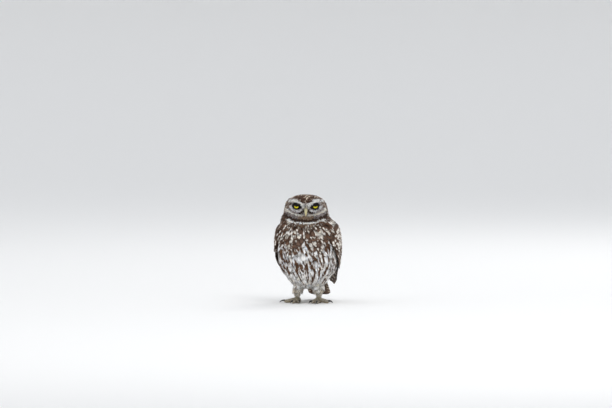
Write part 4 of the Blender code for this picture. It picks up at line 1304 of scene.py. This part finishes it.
feathers = featherGroup()
plumeMaterial = featherMaterial("Soft plumage", 0.0, 15, 0.85, 0.08 * mm)
breastMaterial = featherMaterial("Breast plumage", 0.0, 22, 0.85, 0.08 * mm, grain=(58, 13, 0))
bellyMaterial = featherMaterial("Belly plumage", 0.0, 30, 0.85, 0.08 * mm, grain=(68, 10, 0))
covertMaterial = featherMaterial("Wing coverts", 0.0, 60, 0.7, 0.08 * mm, -0.3, 0.09)
flightMaterial = featherMaterial("Flight feathers", 1.0, 110, 0.6, 0.1 * mm)
skinMaterial = downyMaterial("Skin down")
downMaterial = downyMaterial("Wing down", (86, 67, 55))
eyeMaterial = makeEyeMaterial()
lidShadeMaterial = makeLidShadeMaterial()
billLow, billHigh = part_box("bill_upper")
billStops = ((0.0, (204, 190, 140)), (0.45, (196, 186, 142)), (0.75, (150, 144, 118)), (1.0, (104, 98, 86)))
clawStops = ((0.0, (16, 14, 13)), (1.0, (44, 38, 34)))
toeStops = ((0.0, (150, 136, 112)), (1.0, (176, 164, 138)))
billMaterial = makeHornMaterial("Bill horn", billStops, 500, 0.38, billLow.z, billHigh.z)
clawMaterial = makeHornMaterial("Claw horn", clawStops, 900, 0.3, 0.0, 6 * mm)
footMaterial = makeHornMaterial("Toe skin", toeStops, 1200, 0.7, 0.0, 8 * mm)

skin, skinSurface = makeSkin()
finishPiece(skin, skinMaterial, "body_plumage", ["head", "neck", "torso", "leg_left", "leg_right"])
coatLooks = {"brow": (plumeMaterial, "head_plumage"), "disc": (plumeMaterial, "head_plumage"),
             "crown": (plumeMaterial, "head_plumage"), "leg": (plumeMaterial, "leg_plumage"),
             "breast": (breastMaterial, "body_plumage"), "belly": (bellyMaterial, "body_plumage")}
for coatName, coatPiece in bodyCoat(skinSurface, wingCover()).items():
    finishPiece(coatPiece, *coatLooks.get(coatName.split("_")[0], (plumeMaterial, "body_plumage")))
wingSheet = WingSheet()
makeArms(wingSheet)
makeWings(wingSheet)
makeTail()
for eyeSide in ("left", "right"):
    makeEye(eyeSide)
    makeLids(eyeSide)
makeHorn()
print("pieces made")


# Floor, lights and camera
def makeStage():  # a wide dish, so that every view meets pale paper
    studio = {"floor": 15.0, "bend": 6.0, "rim": 9.0, "steps": 20, "around": 96, "colour": (240, 239, 237)}
    shape = bmesh.new()
    profile = [Vector((0, 0, 0)), Vector((studio["floor"], 0, 0))]
    for step in range(1, studio["steps"] + 1):
        angle = math.radians(90 * step / studio["steps"])
        out = studio["floor"] + studio["bend"] * math.sin(angle)
        profile.append(Vector((out, 0, studio["bend"] * (1 - math.cos(angle)))))
    profile.append(profile[-1] + Vector((0, 0, studio["rim"])))
    verts = [shape.verts.new(point) for point in profile]
    edges = [shape.edges.new(pair) for pair in zip(verts[:-1], verts[1:])]
    bmesh.ops.spin(shape, geom=verts + edges, cent=(0, 0, 0), axis=(0, 0, 1), angle=2 * math.pi,
                   steps=studio["around"], use_merge=True)
    bmesh.ops.remove_doubles(shape, verts=shape.verts, dist=1e-4)
    for face in shape.faces:
        face.normal_update()
        outward = face.normal.dot(face.calc_center_median()) > 0
        if face.normal.z < 0 or (abs(face.normal.z) < 0.01 and outward):
            face.normal_flip()
    floor = shapePiece("studio_floor", shape)
    material, _, shader = newMaterial("Studio paper", 0.9)
    shader.inputs["Base Color"].default_value = (*rgb(*studio["colour"]), 1)
    floor.data.materials.append(material)


def makeLights():
    world = bpy.data.worlds.new("Studio")
    world.use_nodes = True
    around = world.node_tree.nodes["Background"]
    around.inputs["Color"].default_value = (0.92, 0.95, 1.0, 1)
    around.inputs["Strength"].default_value = 0.95
    bpy.context.scene.world = world
    # place in metres, side of the lamp, and power in watts
    lamps = {"key": ((0.9, -1.3, 1.5), 1.0, 12), "fill": ((-1.6, -1.2, 0.7), 1.6, 4),
             "rim": ((0.5, 1.4, 1.5), 1.0, 9)}
    for name, (place, size, power) in lamps.items():
        data = bpy.data.lights.new(name, "AREA")
        data.size = size
        data.energy = power
        lamp = linked(bpy.data.objects.new(name, data))
        lamp.location = place
        lamp.rotation_euler = (Vector((0, 0, 0.1)) - lamp.location).to_track_quat("-Z", "Y").to_euler()


def makeCamera():
    view = {"azimuth": 12, "elevation": 3, "distance": 12.0, "perPixel": 1.45 * mm, "frame": (612, 408),
            "bodyPixel": 308, "floorPixel": 303}
    middle = (view["frame"][0] / 2, view["frame"][1] / 2)
    azimuth, elevation = math.radians(view["azimuth"]), math.radians(view["elevation"])
    right = Vector((math.cos(azimuth), math.sin(azimuth), 0))
    aim = Vector((0, axisY, 0)) + right * (middle[0] - view["bodyPixel"]) * view["perPixel"]
    aim.z = (view["floorPixel"] - middle[1]) * view["perPixel"]
    level = Vector((math.sin(azimuth), -math.cos(azimuth), 0))
    back = level * math.cos(elevation) + Vector((0, 0, math.sin(elevation)))
    data = bpy.data.cameras.new("Camera")
    data.sensor_width = 36
    data.lens = 36 * view["distance"] / (view["frame"][0] * view["perPixel"])
    data.clip_start, data.clip_end = 0.1, 60
    camera = linked(bpy.data.objects.new("Camera", data))
    camera.location = aim + back * view["distance"]
    camera.rotation_euler = (-back).to_track_quat("-Z", "Y").to_euler()
    bpy.context.scene.camera = camera


makeStage()
makeLights()
makeCamera()
bpy.context.scene.view_settings.view_transform = "Standard"
